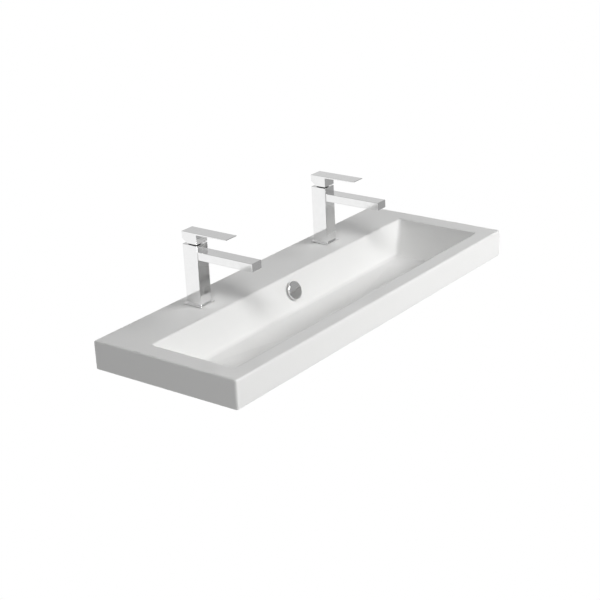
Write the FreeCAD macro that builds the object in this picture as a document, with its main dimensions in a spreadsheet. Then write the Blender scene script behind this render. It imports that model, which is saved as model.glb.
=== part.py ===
import FreeCAD, Part
import os
import re
import Sketcher
from FreeCAD import Placement, Rotation, Vector

# A ceramic trough basin with two square single-lever mixer taps, an overflow and a push-plug waste.
# The frame: x along the basin, y = 0 on the wall with the front at -y, z up, and the origin midway
# between the two wall-fixing holes. All lengths are in millimetres.

SIZES = {
    # ceramic slab: overall size, edges, rims and walls
    "slab_width": 1200,
    "slab_depth": 450,
    "slab_height": 75,
    "slab_corner_round": 7,
    "slab_edge_round": 5,
    "slab_foot_round": 2,
    "skirt_wall": 14,
    "skirt_corner_round": 12,
    "deck_thickness": 16,
    "side_rim": 56,
    "front_rim": 48,
    "deck_depth": 142,
    # bowl: depth at the foot of the walls, how far each wall leans in, roundings and shell
    "bowl_depth": 90,
    "end_run": 65,
    "back_run": 33,
    "front_run": 25,
    "rim_corner_round": 10,
    "floor_corner_round": 14,
    "floor_round": 12,
    "bowl_edge_round": 6,
    "floor_fall": 5,
    "fall_corner_round": 24,
    "bowl_wall": 12,
    "shell_round": 24,
    # wall fixing
    "fixing_drop": 45,
    "fixing_spacing": 700,
    "fixing_hole_radius": 7,
    # overflow channel cast behind the back wall and under the floor
    "channel_width": 46,
    "channel_depth": 14,
    "channel_height": 12,
    "channel_wall": 9,
    "channel_head": 18,
    # overflow fitting
    "overflow_drop": 41,
    "overflow_tube_radius": 12,
    "overflow_tube_wall": 1.5,
    "overflow_tail": 4,
    "overflow_flange_radius": 19,
    "overflow_flange_thickness": 1.5,
    "overflow_seal_thickness": 1,
    "overflow_bar_width": 4,
    "overflow_bar_height": 5,
    "overflow_hub_radius": 5,
    "overflow_stem_radius": 2.5,
    "overflow_cap_radius": 25.5,
    "overflow_cap_proud": 10,
    "overflow_cap_skirt": 6.5,
    "overflow_cap_wall": 1.5,
    "overflow_cap_round": 2.5,
    # waste body, seals and back nut
    "waste_from_front": 150,
    "waste_hole_radius": 23,
    "waste_boss_wall": 14,
    "waste_flange_radius": 31.5,
    "waste_flange_thickness": 3,
    "waste_flange_round": 1.2,
    "waste_mouth_flare": 2.2,
    "waste_thread_radius": 20.955,
    "waste_wall": 2.5,
    "waste_funnel": 8,
    "waste_tail": 62,
    "waste_tail_thread": 13.5,
    "waste_relief_width": 3,
    "waste_relief_depth": 0.8,
    "waste_slot_width": 12,
    "waste_slot_margin": 1.5,
    "waste_seal_thickness": 2,
    "waste_washer_radius": 32,
    "waste_washer_thickness": 3,
    "waste_nut_across": 54,
    "waste_nut_height": 9,
    "seat_gap": 1,
    # push plug
    "plug_radius": 30,
    "plug_thickness": 5,
    "plug_round": 2,
    "plug_lift": 9,
    "plug_rest_gap": 0.5,
    "plug_seal_radius": 27,
    "plug_seal_width": 4,
    "plug_seal_height": 2.5,
    "plug_seal_groove": 2.2,
    "stem_radius": 5,
    "stem_collar_radius": 6,
    "stem_collar_height": 2,
    "stem_socket": 2.5,
    "spider_drop": 26,
    "spider_height": 8,
    "spider_bar_width": 5,
    "spider_hub_radius": 12,
    "sleeve_radius": 8,
    "sleeve_bore_radius": 6.3,
    "sleeve_flange_radius": 10.5,
    "sleeve_flange_thickness": 2,
    "sleeve_length": 23,
    "sleeve_floor": 2,
    "spring_radius": 4.6,
    "spring_wire_radius": 0.6,
    "spring_turns": 5,
    # tap body and spout, measured up from the deck and out from the tap's axis
    "tap_spacing": 550,
    "tap_setback": 65,
    "tap_hole_radius": 17.5,
    "tap_top": 165,
    "body_side_wall": 3.5,
    "body_front_wall": 6.5,
    "body_corner_round": 1.2,
    "body_edge_round": 0.8,
    "body_foot_wall": 4,
    "body_bridge": 14,
    "cavity_corner_round": 3,
    "spout_inset": 2,
    "spout_height": 22,
    "spout_drop": 16,
    "spout_reach": 175,
    "waterway_width": 28,
    "waterway_height": 9,
    "waterway_floor": 3,
    "inlet_radius": 5,
    "inlet_spread": 6.5,
    "inlet_front": 4,
    # base plate, seal and the fixing under the deck
    "base_margin": 6,
    "base_corner_round": 2,
    "base_edge_round": 0.6,
    "base_seal_thickness": 1,
    "base_seal_inset": 1.5,
    "base_plate_thickness": 3,
    "base_step": 1.5,
    "base_step_inset": 1.5,
    "base_opening_radius": 16.5,
    "stud_radius": 4,
    "stud_back": 11,
    "stud_thread": 14,
    "stud_tail": 24,
    "stud_boss_wall": 2.5,
    "clamp_radius": 25,
    "clamp_slot_width": 27,
    "clamp_slot_depth": 3,
    "clamp_gasket_thickness": 2,
    "clamp_washer_thickness": 2.5,
    "clamp_nut_across": 13,
    "clamp_nut_height": 10,
    # aerator in the spout's tip
    "aerator_setback": 20,
    "aerator_radius": 11,
    "aerator_wall": 1.6,
    "aerator_height": 9,
    "aerator_lip": 1.2,
    "aerator_lip_width": 1.2,
    "aerator_insert_height": 6,
    "aerator_washer_thickness": 2,
    "aerator_washer_width": 3.5,
    "aerator_jet_radius": 1.1,
    "aerator_jet_ring": 4.6,
    # cartridge: a stack of pieces below the top of the tap body
    "cartridge_radius": 17.2,
    "chamber_gap": 0.3,
    "dome_seat": 1.5,
    "dome_radius": 17,
    "dome_wall": 1.2,
    "dome_collar": 1.5,
    "dome_height": 8,
    "dome_taper": 4.2,
    "dome_round": 5,
    "nut_height": 8.5,
    "nut_notch_width": 4,
    "nut_notch_depth": 3,
    "housing_wall": 2.8,
    "housing_roof": 3.7,
    "flange_thickness": 3.7,
    "driver_thickness": 3.5,
    "disc_thickness": 3,
    "moving_disc_radius": 10,
    "cartridge_base_thickness": 6,
    "cartridge_seal_thickness": 2,
    "cartridge_seal_margin": 1.5,
    "port_radius": 2,
    "outlet_radius": 2.5,
    "outlet_back": 6,
    "outlet_groove_depth": 3,
    "recess_width": 14,
    "recess_back": 8.3,
    "recess_front": 0.5,
    "recess_round": 3.5,
    "recess_depth": 1.5,
    "carrier_radius": 10.5,
    "carrier_sink": 0.5,
    "carrier_slot_length": 15,
    "carrier_slot_round": 2,
    "carrier_flange_margin": 0.6,
    "pivot_drop": 8,
    "pivot_pin_radius": 1.5,
    "spindle_width": 8,
    "spindle_rise": 27,
    "spindle_skirt": 4,
    "finger_radius": 1.5,
    "ball_radius": 2.3,
    "ball_gap": 0.3,
    "ball_sink": 1,
    # lever
    "lever_gap": 3.5,
    "lever_height": 30.5,
    "lever_reach": 99,
    "paddle_root": 4.5,
    "paddle_tip": 2,
    "heel_run": 17,
    "heel_rise": 12,
    "lever_edge_round": 0.6,
    "lever_cavity_gap": 1.8,
    "lever_cavity_height": 10,
    "socket_rise": 15,
    "screw_height": 22,
    "screw_radius": 2.5,
    "screw_length": 6,
    "screw_key_across": 2.5,
    "screw_key_depth": 2,
    "indicator_radius": 3.2,
    "indicator_thickness": 1.6,
    # fits that several pieces share
    "stack_gap": 0.3,
    "running_gap": 0.3,
    "shaft_fit": 0.05,
    "thread_fit": 0.05,
    "overrun": 5,
}

# Depths below the rim, from the bowl's floor at the waste down to the foot of the waste boss.
FLOOR = "(bowl_depth + floor_fall)"
SHELL_FOOT = f"({FLOOR} + bowl_wall)"
CHANNEL_FLOOR = f"({SHELL_FOOT} + channel_height)"
BOSS_FOOT = f"({CHANNEL_FLOOR} + channel_wall)"
# The waste's distance from the wall, and depths below the bowl's floor, down the waste.
WASTE_BACK = "(slab_depth - waste_from_front)"
WASTE_SEAT = "(waste_flange_thickness + waste_seal_thickness)"
BOSS_DROP = f"({BOSS_FOOT} - {FLOOR})"
WASTE_BORE = "(waste_thread_radius - waste_wall)"
SLEEVE_FLOOR = "(spider_drop + sleeve_length - sleeve_floor)"
COLLAR_TOP = "(spider_drop + running_gap + plug_lift)"
# Sizes across the tap body, and heights up from the deck.
CHAMBER = "(cartridge_radius + chamber_gap)"
HALF_WIDTH = f"({CHAMBER} + body_side_wall)"
HALF_DEPTH = f"({CHAMBER} + body_front_wall)"
BASE_TOP = "(base_seal_thickness + base_plate_thickness)"
BODY_FOOT = f"({BASE_TOP} + base_step)"
SPOUT_FOOT = "(tap_top - spout_drop - spout_height)"
OUTLET = f"({HALF_DEPTH} + spout_reach - aerator_setback)"
# Depths below the top of the tap body, down the cartridge.
HOUSING_TOP = "(dome_seat + nut_height)"
FLANGE_TOP = f"({HOUSING_TOP} + housing_roof + stack_gap)"
FLANGE_FOOT = f"({FLANGE_TOP} + flange_thickness)"
DRIVER_TOP = f"({FLANGE_FOOT} + stack_gap)"
MOVING_TOP = f"({DRIVER_TOP} + driver_thickness)"
FIXED_TOP = f"({MOVING_TOP} + disc_thickness)"
PLATE_TOP = f"({FIXED_TOP} + disc_thickness)"
SEAL_TOP = f"({PLATE_TOP} + cartridge_base_thickness)"
CHAMBER_FLOOR = f"({SEAL_TOP} + cartridge_seal_thickness)"
HOUSING_BORE = "(cartridge_radius - housing_wall)"
DOME_BORE = "(dome_radius - dome_taper - dome_wall)"

SIDES = {"left": "-tap_spacing / 2", "right": "tap_spacing / 2"}
START, END, CENTRE = range(1, 4)
ORIGIN = -START
SAME_PLACE = 1e-4

doc = FreeCAD.newDocument("trough_basin")
sheet = doc.addObject("Spreadsheet::Sheet", "Sizes")
for row, (alias, size) in enumerate(SIZES.items(), 1):
    sheet.set(f"A{row}", alias.replace("_", " "))
    sheet.set(f"B{row}", str(size))
    sheet.setAlias(f"B{row}", alias)
doc.recompute()

pieces = []


def cells(text):
    """The expression with each size's name pointed at its cell in the sheet."""
    return re.sub(r"[a-z_]+", lambda word: f"Sizes.{word[0]}" if word[0] in SIZES else word[0], text)


def value(text):
    """The number that an expression in the sizes gives."""
    return float(sheet.evalExpression(text))


def bind(thing, name, text):
    """Tie a property of a document object to an expression in the sizes."""
    thing.setExpression(name, cells(text))


def new_body(label, x="0", y="0", z="0", tilt=None):
    """An empty body, placed by expressions and tilted about the x axis where a tilt is given."""
    body = doc.addObject("PartDesign::Body", label)
    body.Label = label
    if tilt:
        body.Placement = Placement(Vector(), Rotation(Vector(1, 0, 0), 1))
        bind(body, "Placement.Rotation.Angle", tilt)
    for axis, text in zip("xyz", (x, y, z)):
        bind(body, f"Placement.Base.{axis}", text)
    pieces.append(body)
    return body


def sketch_on(body, role, offset="0"):
    """A sketch on one of the body's own planes, moved along the plane's normal by the offset."""
    plane = next(item for item in body.Origin.OriginFeatures if item.Role == role)
    sketch = body.newObject("Sketcher::SketchObject", f"{body.Name}_sketch")
    sketch.AttachmentSupport = [(plane, "")]
    sketch.MapMode = "FlatFace"
    bind(sketch, "AttachmentOffset.Base.z", offset)
    return sketch


def dimension(sketch, text, *constraint):
    """Add a constraint whose value is an expression in the sizes."""
    index = sketch.addConstraint(Sketcher.Constraint(*constraint, value(text)))
    bind(sketch, f"Constraints[{index}]", text)


def place_point(sketch, geometry, point, x, y):
    """Fix a point of a sketch by its two distances from the sketch's origin."""
    dimension(sketch, x, "DistanceX", ORIGIN, START, geometry, point)
    dimension(sketch, y, "DistanceY", ORIGIN, START, geometry, point)


def polygon(sketch, points):
    """A closed outline of straight lines through points given as pairs of expressions."""
    corners = [Vector(value(x), value(y), 0) for x, y in points]
    ends = corners[1:] + corners[:1]
    lines = [sketch.addGeometry(Part.LineSegment(a, b)) for a, b in zip(corners, ends)]
    for line, following in zip(lines, lines[1:] + lines[:1]):
        sketch.addConstraint(Sketcher.Constraint("Coincident", line, END, following, START))
    for line, (x, y) in zip(lines, points):
        place_point(sketch, line, START, x, y)


def rectangle(sketch, left, right, low, high):
    """A rectangle between four expressions."""
    polygon(sketch, [(left, low), (right, low), (right, high), (left, high)])


def hexagon(sketch, across, x="0", y="0"):
    """A regular hexagon, given by its size across the flats."""
    flat, tip = f"({across}) / 2", f"({across}) / sqrt(3)"
    shares = [(tip, 1, flat, 0), (tip, 0.5, flat, 1), (tip, -0.5, flat, 1)]
    shares += [(tip, -1, flat, 0), (tip, -0.5, flat, -1), (tip, 0.5, flat, -1)]
    polygon(sketch, [(f"{x} + {a} * {b}", f"{y} + {c} * {d}") for a, b, c, d in shares])


def circle(sketch, radius, x="0", y="0"):
    """A circle about a point."""
    centre = Vector(value(x), value(y), 0)
    ring = sketch.addGeometry(Part.Circle(centre, Vector(0, 0, 1), value(radius)))
    place_point(sketch, ring, CENTRE, x, y)
    dimension(sketch, radius, "Radius", ring)


def rounded_rectangle(sketch, left, right, low, high, rounding):
    """Four lines joined by four tangent arcs of one radius."""
    x0, x1, y0, y1, r = (value(text) for text in (left, right, low, high, rounding))
    ends = [(x0 + r, y0), (x1 - r, y0), (x1, y0 + r), (x1, y1 - r)]
    ends += [(x1 - r, y1), (x0 + r, y1), (x0, y1 - r), (x0, y0 + r)]
    ends = [Vector(x, y, 0) for x, y in ends]
    centres = [(x1 - r, y0 + r), (x1 - r, y1 - r), (x0 + r, y1 - r), (x0 + r, y0 + r)]
    lines = [sketch.addGeometry(Part.LineSegment(a, b)) for a, b in zip(ends[::2], ends[1::2])]
    arcs = []
    for (x, y), start in zip(centres, (ends[1], ends[3], ends[5], ends[7])):
        middle = Vector(x, y, 0)
        half_turn = Rotation(Vector(0, 0, 1), 45)
        quarter_turn = Rotation(Vector(0, 0, 1), 90)
        spoke = start - middle
        bend = Part.Arc(start, middle + half_turn * spoke, middle + quarter_turn * spoke)
        arcs.append(sketch.addGeometry(bend))
    for line, arc, following in zip(lines, arcs, lines[1:] + lines[:1]):
        sketch.addConstraint(Sketcher.Constraint("Tangent", line, END, arc, START))
        sketch.addConstraint(Sketcher.Constraint("Tangent", arc, END, following, START))
    for line, kind in zip(lines, ("Horizontal", "Vertical", "Horizontal", "Vertical")):
        sketch.addConstraint(Sketcher.Constraint(kind, line))
    for arc in arcs[1:]:
        sketch.addConstraint(Sketcher.Constraint("Equal", arcs[0], arc))
    dimension(sketch, rounding, "Radius", arcs[0])
    sides = zip(lines, ("DistanceY", "DistanceX", "DistanceY", "DistanceX"), (low, right, high, left))
    for line, kind, text in sides:
        dimension(sketch, text, kind, ORIGIN, START, line, START)


def settle(body, feature, adds):
    """Recompute, and stop where a feature has not grown or cut its body as it should."""
    before = 0 if body.Shape.isNull() else body.Shape.Volume
    doc.recompute()
    after = body.Shape.Volume
    if (after > before) != adds or after == before:
        raise ValueError(f"{feature.Name} in {body.Label} leaves the volume at {after}")


def extrude(kind, body, sketch, length, backwards, both_ways):
    """A pad or pocket of a sketch, one way or evenly both ways."""
    feature = body.newObject(f"PartDesign::{kind}", f"{body.Name}_{kind.lower()}")
    feature.Profile = sketch
    feature.SideType = "Symmetric" if both_ways else "One side"
    feature.Reversed = backwards
    bind(feature, "Length", length)
    settle(body, feature, adds=kind == "Pad")


def pad(body, sketch, length, backwards=False, both_ways=False):
    """Grow a sketch along its normal."""
    extrude("Pad", body, sketch, length, backwards, both_ways)


def pocket(body, sketch, length, along_normal=False, both_ways=False):
    """Cut a sketch against its normal, or along it."""
    extrude("Pocket", body, sketch, length, along_normal, both_ways)


def loft(kind, body, sketches):
    """A ruled loft through sketches, added to the body or cut out of it."""
    feature = body.newObject(f"PartDesign::{kind}", f"{body.Name}_loft")
    feature.Profile = sketches[0]
    feature.Sections = sketches[1:]
    feature.Ruled = True
    settle(body, feature, adds=kind == "AdditiveLoft")


def revolve(body, sketch):
    """Turn a profile drawn in radius and height about the z axis."""
    feature = body.newObject("PartDesign::Revolution", f"{body.Name}_turned")
    feature.Profile = sketch
    feature.ReferenceAxis = (sketch, ["V_Axis"])
    feature.Angle = 360
    settle(body, feature, adds=True)


def round_edges(body, radius, chosen):
    """Round those edges of the body that a test on the edge's box chooses."""
    base = body.Tip
    names = [f"Edge{n}" for n, edge in enumerate(base.Shape.Edges, 1) if chosen(edge.BoundBox)]
    feature = body.newObject("PartDesign::Fillet", f"{body.Name}_round")
    feature.Base = (base, names)
    bind(feature, "Radius", radius)
    doc.recompute()


def level(height):
    """A test for edges that lie flat at a height."""
    z = value(height)
    return lambda box: abs(box.ZMin - z) < SAME_PLACE and abs(box.ZMax - z) < SAME_PLACE


def turned(label, place, outline):
    """A piece turned from one outline in radius and height."""
    body = new_body(label, **place)
    sketch = sketch_on(body, "XZ_Plane")
    polygon(sketch, outline)
    revolve(body, sketch)
    return body


def ring(label, place, inner, outer, foot, top):
    """A flat ring, as washers and seals are."""
    return turned(label, place, [(inner, foot), (outer, foot), (outer, top), (inner, top)])


def drill(body, radius, height, length, x="0", y="0", upwards=False):
    """A round hole from a height, downwards or upwards."""
    sketch = sketch_on(body, "XY_Plane", height)
    circle(sketch, radius, x, y)
    pocket(body, sketch, length, along_normal=upwards)


def bowl_section(body, depth, wall):
    """The bowl's outline at a depth, moved outwards by a wall."""
    share = f"({depth}) / bowl_depth"
    half = f"slab_width / 2 - side_rim - end_run * {share} + {wall}"
    front = f"-slab_depth + front_rim + front_run * {share} - {wall}"
    back = f"-deck_depth - back_run * {share} + {wall}"
    rounding = f"rim_corner_round + (floor_corner_round - rim_corner_round) * {share} + {wall}"
    sketch = sketch_on(body, "XY_Plane", f"-({depth})")
    rounded_rectangle(sketch, f"-({half})", half, front, back, rounding)
    return sketch


def back_wall(depth):
    """Where the outer face of the bowl's back wall lies at a depth."""
    return f"bowl_wall - deck_depth - back_run * ({depth}) / bowl_depth"


def channel_outline(head, foot, front_wall, back_wall_gap, ceiling):
    """The overflow channel's side view: down behind the back wall, then forwards to the waste."""
    return [
        (f"{back_wall(head)} - {front_wall}", f"-({head})"),
        (f"{back_wall(head)} + {back_wall_gap}", f"-({head})"),
        (f"{back_wall(foot)} + {back_wall_gap}", f"-({foot})"),
        (f"-{WASTE_BACK}", f"-({foot})"),
        (f"-{WASTE_BACK}", f"-({ceiling})"),
        (f"{back_wall(ceiling)} - {front_wall}", f"-({ceiling})"),
    ]


def make_basin():
    """The slab, its hollow underside, the bowl's shell, and the overflow channel cast on to it."""
    body = new_body("basin", z="fixing_drop")
    half = "slab_width / 2"
    outline = sketch_on(body, "XY_Plane", "-slab_height")
    rounded_rectangle(outline, f"-{half}", half, "-slab_depth", "0", "slab_corner_round")
    pad(body, outline, "slab_height")
    hollow = sketch_on(body, "XY_Plane", "-slab_height")
    inner = f"{half} - skirt_wall"
    sides = (f"-({inner})", inner, "skirt_wall - slab_depth", "-skirt_wall")
    rounded_rectangle(hollow, *sides, "skirt_corner_round")
    pocket(body, hollow, "slab_height - deck_thickness", along_normal=True)
    shell = [bowl_section(body, depth, "bowl_wall") for depth in ("deck_thickness / 2", SHELL_FOOT)]
    loft("AdditiveLoft", body, shell)
    round_edges(body, "shell_round", level(f"-{SHELL_FOOT}"))

    hump = sketch_on(body, "YZ_Plane")
    back = "channel_depth + channel_wall"
    mid_wall = "bowl_wall / 2"
    polygon(hump, channel_outline("deck_thickness / 2", BOSS_FOOT, mid_wall, back, f"{FLOOR} + {mid_wall}"))
    pad(body, hump, "channel_width + 2 * channel_wall", both_ways=True)
    boss = sketch_on(body, "XY_Plane", f"-{BOSS_FOOT}")
    circle(boss, "waste_hole_radius + waste_boss_wall", y=f"-{WASTE_BACK}")
    pad(body, boss, f"{BOSS_FOOT} - {FLOOR} - {mid_wall}")

    loft("SubtractiveLoft", body, [bowl_section(body, depth, "0") for depth in ("0", "bowl_depth")])
    round_edges(body, "floor_round", level("-bowl_depth"))
    fall_top = sketch_on(body, "XY_Plane", "-bowl_depth")
    margin = "floor_round"
    reach = f"slab_width / 2 - side_rim - end_run - {margin}"
    front = f"-slab_depth + front_rim + front_run + {margin}"
    rear = f"-deck_depth - back_run - {margin}"
    rounded_rectangle(fall_top, f"-({reach})", reach, front, rear, "fall_corner_round")
    fall_foot = sketch_on(body, "XY_Plane", f"-{FLOOR}")
    seat = "waste_flange_radius + 2 * seat_gap"
    around = (f"-({seat})", seat, f"-{WASTE_BACK} - {seat}", f"-{WASTE_BACK} + {seat}")
    rounded_rectangle(fall_foot, *around, "fall_corner_round")
    loft("SubtractiveLoft", body, [fall_top, fall_foot])

    cavity = sketch_on(body, "YZ_Plane")
    head = "overflow_drop - channel_head"
    polygon(cavity, channel_outline(head, CHANNEL_FLOOR, "0", "channel_depth", SHELL_FOOT))
    pocket(body, cavity, "channel_width", both_ways=True)
    mouth = sketch_on(body, "XZ_Plane", "deck_depth + back_run * overflow_drop / bowl_depth")
    bind(mouth, "AttachmentOffset.Base.y", "-overflow_drop")
    tilt = mouth.AttachmentOffset
    tilt.Rotation = Rotation(Vector(-1, 0, 0), 1)
    mouth.AttachmentOffset = tilt
    bind(mouth, "AttachmentOffset.Rotation.Angle", "atan(back_run / bowl_depth)")
    circle(mouth, "overflow_tube_radius + thread_fit")
    pocket(body, mouth, "bowl_wall + channel_depth / 2")

    waste = {"y": f"-{WASTE_BACK}"}
    drill(body, "waste_flange_radius + seat_gap", f"-{FLOOR}", WASTE_SEAT, **waste)
    drill(body, "waste_hole_radius", f"-{FLOOR}", f"{BOSS_FOOT} - {FLOOR} + overrun", **waste)
    for x in SIDES.values():
        drill(body, "tap_hole_radius", "0", "deck_thickness + overrun", x=x, y="-tap_setback")
    fixings = sketch_on(body, "XZ_Plane")
    for x in ("-fixing_spacing / 2", "fixing_spacing / 2"):
        circle(fixings, "fixing_hole_radius", x, "-fixing_drop")
    pocket(body, fixings, "skirt_wall + overrun", along_normal=True)
    rim = level("0")
    round_edges(body, "bowl_edge_round", lambda box: rim(box) and in_bowl(box))
    round_edges(body, "slab_edge_round", lambda box: rim(box) and on_outline(box))
    foot = level("-slab_height")
    round_edges(body, "slab_foot_round", lambda box: foot(box) and on_outline(box))


def in_bowl(box):
    """Whether an edge lies round the bowl's opening, between the front rim and the deck."""
    front, back = value("front_rim / 2 - slab_depth"), value("side_rim / 2 - deck_depth")
    return front < box.Center.y < back and abs(box.Center.x) < value("slab_width / 2 - side_rim / 2")


def on_outline(box):
    """Whether an edge lies on the slab's outer outline."""
    side = value("slab_width / 2 - slab_corner_round")
    front, back = value("slab_corner_round - slab_depth"), value("-slab_corner_round")
    return abs(box.Center.x) > side or box.Center.y > back or box.Center.y < front


def make_overflow():
    """The seal, the sleeve with its cross bar, and the cap that stands off the wall on its stem."""
    place = {
        "y": "-deck_depth - back_run * overflow_drop / bowl_depth",
        "z": "fixing_drop - overflow_drop",
        "tilt": "90 deg - atan(back_run / bowl_depth)",
    }
    seal_top = "overflow_seal_thickness"
    ring("overflow_seal", place, "overflow_tube_radius + thread_fit", "overflow_flange_radius", "0", seal_top)
    bore = "(overflow_tube_radius - overflow_tube_wall)"
    tail = "-(bowl_wall + overflow_tail - overflow_seal_thickness)"
    flange_top = f"{seal_top} + overflow_flange_thickness"
    sleeve = turned("overflow_sleeve", place, [
        (bore, tail),
        ("overflow_tube_radius", tail),
        ("overflow_tube_radius", seal_top),
        ("overflow_flange_radius", seal_top),
        ("overflow_flange_radius", flange_top),
        (bore, flange_top),
    ])
    bar_foot = f"{flange_top} - overflow_bar_height"
    bar = sketch_on(sleeve, "XY_Plane", bar_foot)
    half_bar, reach = "overflow_bar_width / 2", f"{bore} + overflow_tube_wall / 2"
    rectangle(bar, f"-({reach})", reach, f"-{half_bar}", half_bar)
    pad(sleeve, bar, "overflow_bar_height")
    hub = sketch_on(sleeve, "XY_Plane", bar_foot)
    circle(hub, "overflow_hub_radius")
    pad(sleeve, hub, "overflow_bar_height")
    drill(sleeve, "overflow_stem_radius + shaft_fit", flange_top, "overflow_bar_height + overrun")
    top = "overflow_cap_proud"
    rim = f"{top} - overflow_cap_skirt"
    inside = "overflow_cap_radius - overflow_cap_wall"
    crown = f"{top} - overflow_cap_wall"
    cap = turned("overflow_cap", place, [
        ("0", top),
        ("0", bar_foot),
        ("overflow_stem_radius", bar_foot),
        ("overflow_stem_radius", flange_top),
        ("overflow_hub_radius", flange_top),
        ("overflow_hub_radius", crown),
        (inside, crown),
        (inside, rim),
        ("overflow_cap_radius", rim),
        ("overflow_cap_radius", top),
    ])
    round_edges(cap, "overflow_cap_round", outermost(top, "overflow_cap_radius"))


def outermost(height, radius):
    """A test for a round edge of a given radius at a height."""
    flat, r = level(height), value(radius)
    return lambda box: flat(box) and abs(box.XMax - r) < SAME_PLACE


def make_waste():
    """The slotted waste body with its spider, and the seals and nut that clamp it to the bowl."""
    place = {"y": f"-{WASTE_BACK}", "z": f"fixing_drop - {FLOOR}"}
    under = "-waste_flange_thickness"
    bore, tail = WASTE_BORE, "-waste_tail"
    relief_foot = f"{tail} + waste_tail_thread"
    relief_top = f"{relief_foot} + waste_relief_width"
    waste = turned("waste_body", place, [
        (bore, tail),
        ("waste_thread_radius", tail),
        ("waste_thread_radius", relief_foot),
        ("waste_thread_radius - waste_relief_depth", relief_foot),
        ("waste_thread_radius - waste_relief_depth", relief_top),
        ("waste_thread_radius", relief_top),
        ("waste_thread_radius", under),
        ("waste_flange_radius", under),
        ("waste_flange_radius", "0"),
        (f"{bore} + waste_mouth_flare", "0"),
        (bore, "-waste_funnel"),
    ])
    round_edges(waste, "waste_flange_round", outermost("0", "waste_flange_radius"))
    slot_top = f"{FLOOR} - {SHELL_FOOT} - waste_slot_margin"
    slot_foot = f"{FLOOR} - {CHANNEL_FLOOR} + waste_slot_margin"
    for role in ("XZ_Plane", "YZ_Plane"):
        slot = sketch_on(waste, role)
        rectangle(slot, "-waste_slot_width / 2", "waste_slot_width / 2", slot_foot, slot_top)
        pocket(waste, slot, "2 * waste_thread_radius + overrun", both_ways=True)
    spider_foot = "-spider_drop - spider_height"
    reach, half_bar = f"{bore} + waste_wall / 2", "spider_bar_width / 2"
    for across in ((reach, half_bar), (half_bar, reach)):
        bar = sketch_on(waste, "XY_Plane", spider_foot)
        x, y = across
        rectangle(bar, f"-({x})", x, f"-({y})", y)
        pad(waste, bar, "spider_height")
    hub = sketch_on(waste, "XY_Plane", spider_foot)
    circle(hub, "spider_hub_radius")
    pad(waste, hub, "spider_height")
    drill(waste, "sleeve_radius + thread_fit", "-spider_drop", "spider_height + overrun")

    thread = "waste_thread_radius + thread_fit"
    ring("waste_seal", place, thread, "waste_flange_radius", f"-{WASTE_SEAT}", under)
    washer_foot = f"-{BOSS_DROP} - waste_washer_thickness"
    ring("waste_washer", place, thread, "waste_washer_radius", washer_foot, f"-{BOSS_DROP}")
    nut = new_body("waste_nut", **place)
    flats = sketch_on(nut, "XY_Plane", f"{washer_foot} - waste_nut_height")
    hexagon(flats, "waste_nut_across")
    circle(flats, thread)
    pad(nut, flats, "waste_nut_height")


def make_plug():
    """The push plug, drawn shut: its cap, seal and stem ride in a sleeve over a spring."""
    place = {"y": f"-{WASTE_BACK}", "z": f"fixing_drop - {FLOOR}"}
    foot = "plug_rest_gap"
    top = f"({foot} + plug_thickness)"
    groove_top = f"({foot} + plug_seal_groove)"
    seal_inner = "(plug_seal_radius - plug_seal_width)"
    socket = f"({foot} + stem_socket)"
    cap = turned("plug_cap", place, [
        ("0", socket),
        ("stem_radius + thread_fit", socket),
        ("stem_radius + thread_fit", foot),
        (seal_inner, foot),
        (seal_inner, groove_top),
        ("plug_seal_radius", groove_top),
        ("plug_seal_radius", foot),
        ("plug_radius", foot),
        ("plug_radius", top),
        ("0", top),
    ])
    round_edges(cap, "plug_round", outermost(top, "plug_radius"))
    ring("plug_seal", place, seal_inner, "plug_seal_radius", f"{groove_top} - plug_seal_height", groove_top)
    neck_foot = f"-{COLLAR_TOP}"
    collar_foot = f"{neck_foot} - stem_collar_height"
    turned("plug_stem", place, [
        ("0", collar_foot),
        ("stem_collar_radius", collar_foot),
        ("stem_collar_radius", neck_foot),
        ("stem_radius", neck_foot),
        ("stem_radius", socket),
        ("0", socket),
    ])
    sleeve_foot = "-spider_drop - sleeve_length"
    flange_top = "-spider_drop + sleeve_flange_thickness"
    turned("plug_sleeve", place, [
        ("0", sleeve_foot),
        ("sleeve_radius", sleeve_foot),
        ("sleeve_radius", "-spider_drop"),
        ("sleeve_flange_radius", "-spider_drop"),
        ("sleeve_flange_radius", flange_top),
        ("stem_radius + shaft_fit", flange_top),
        ("stem_radius + shaft_fit", "-spider_drop"),
        ("sleeve_bore_radius", "-spider_drop"),
        ("sleeve_bore_radius", f"-{SLEEVE_FLOOR}"),
        ("0", f"-{SLEEVE_FLOOR}"),
    ])
    spring = new_body("plug_spring", **place)
    start = f"-{SLEEVE_FLOOR} + spring_wire_radius"
    wire = sketch_on(spring, "XZ_Plane")
    circle(wire, "spring_wire_radius", "spring_radius", start)
    coil = spring.newObject("PartDesign::AdditiveHelix", "spring_coil")
    coil.Profile = wire
    coil.ReferenceAxis = (wire, ["V_Axis"])
    coil.Mode = "height-turns-angle"
    bind(coil, "Height", f"{collar_foot} - spring_wire_radius - ({start})")
    bind(coil, "Turns", "spring_turns")
    settle(spring, coil, adds=True)


def on_tap(side):
    """The place of a tap's own frame: its axis, at the top of the deck."""
    return {"x": SIDES[side], "y": "-tap_setback", "z": "fixing_drop"}


def below_top(depth):
    """The height of a depth below the top of the tap body."""
    return f"tap_top - {depth}"


def block(body, half_width, half_depth, foot, height, rounding):
    """An upright block about the tap's axis with rounded corners."""
    sketch = sketch_on(body, "XY_Plane", foot)
    sides = (f"-({half_width})", half_width, f"-({half_depth})", half_depth)
    rounded_rectangle(sketch, *sides, rounding)
    pad(body, sketch, height)


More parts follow.
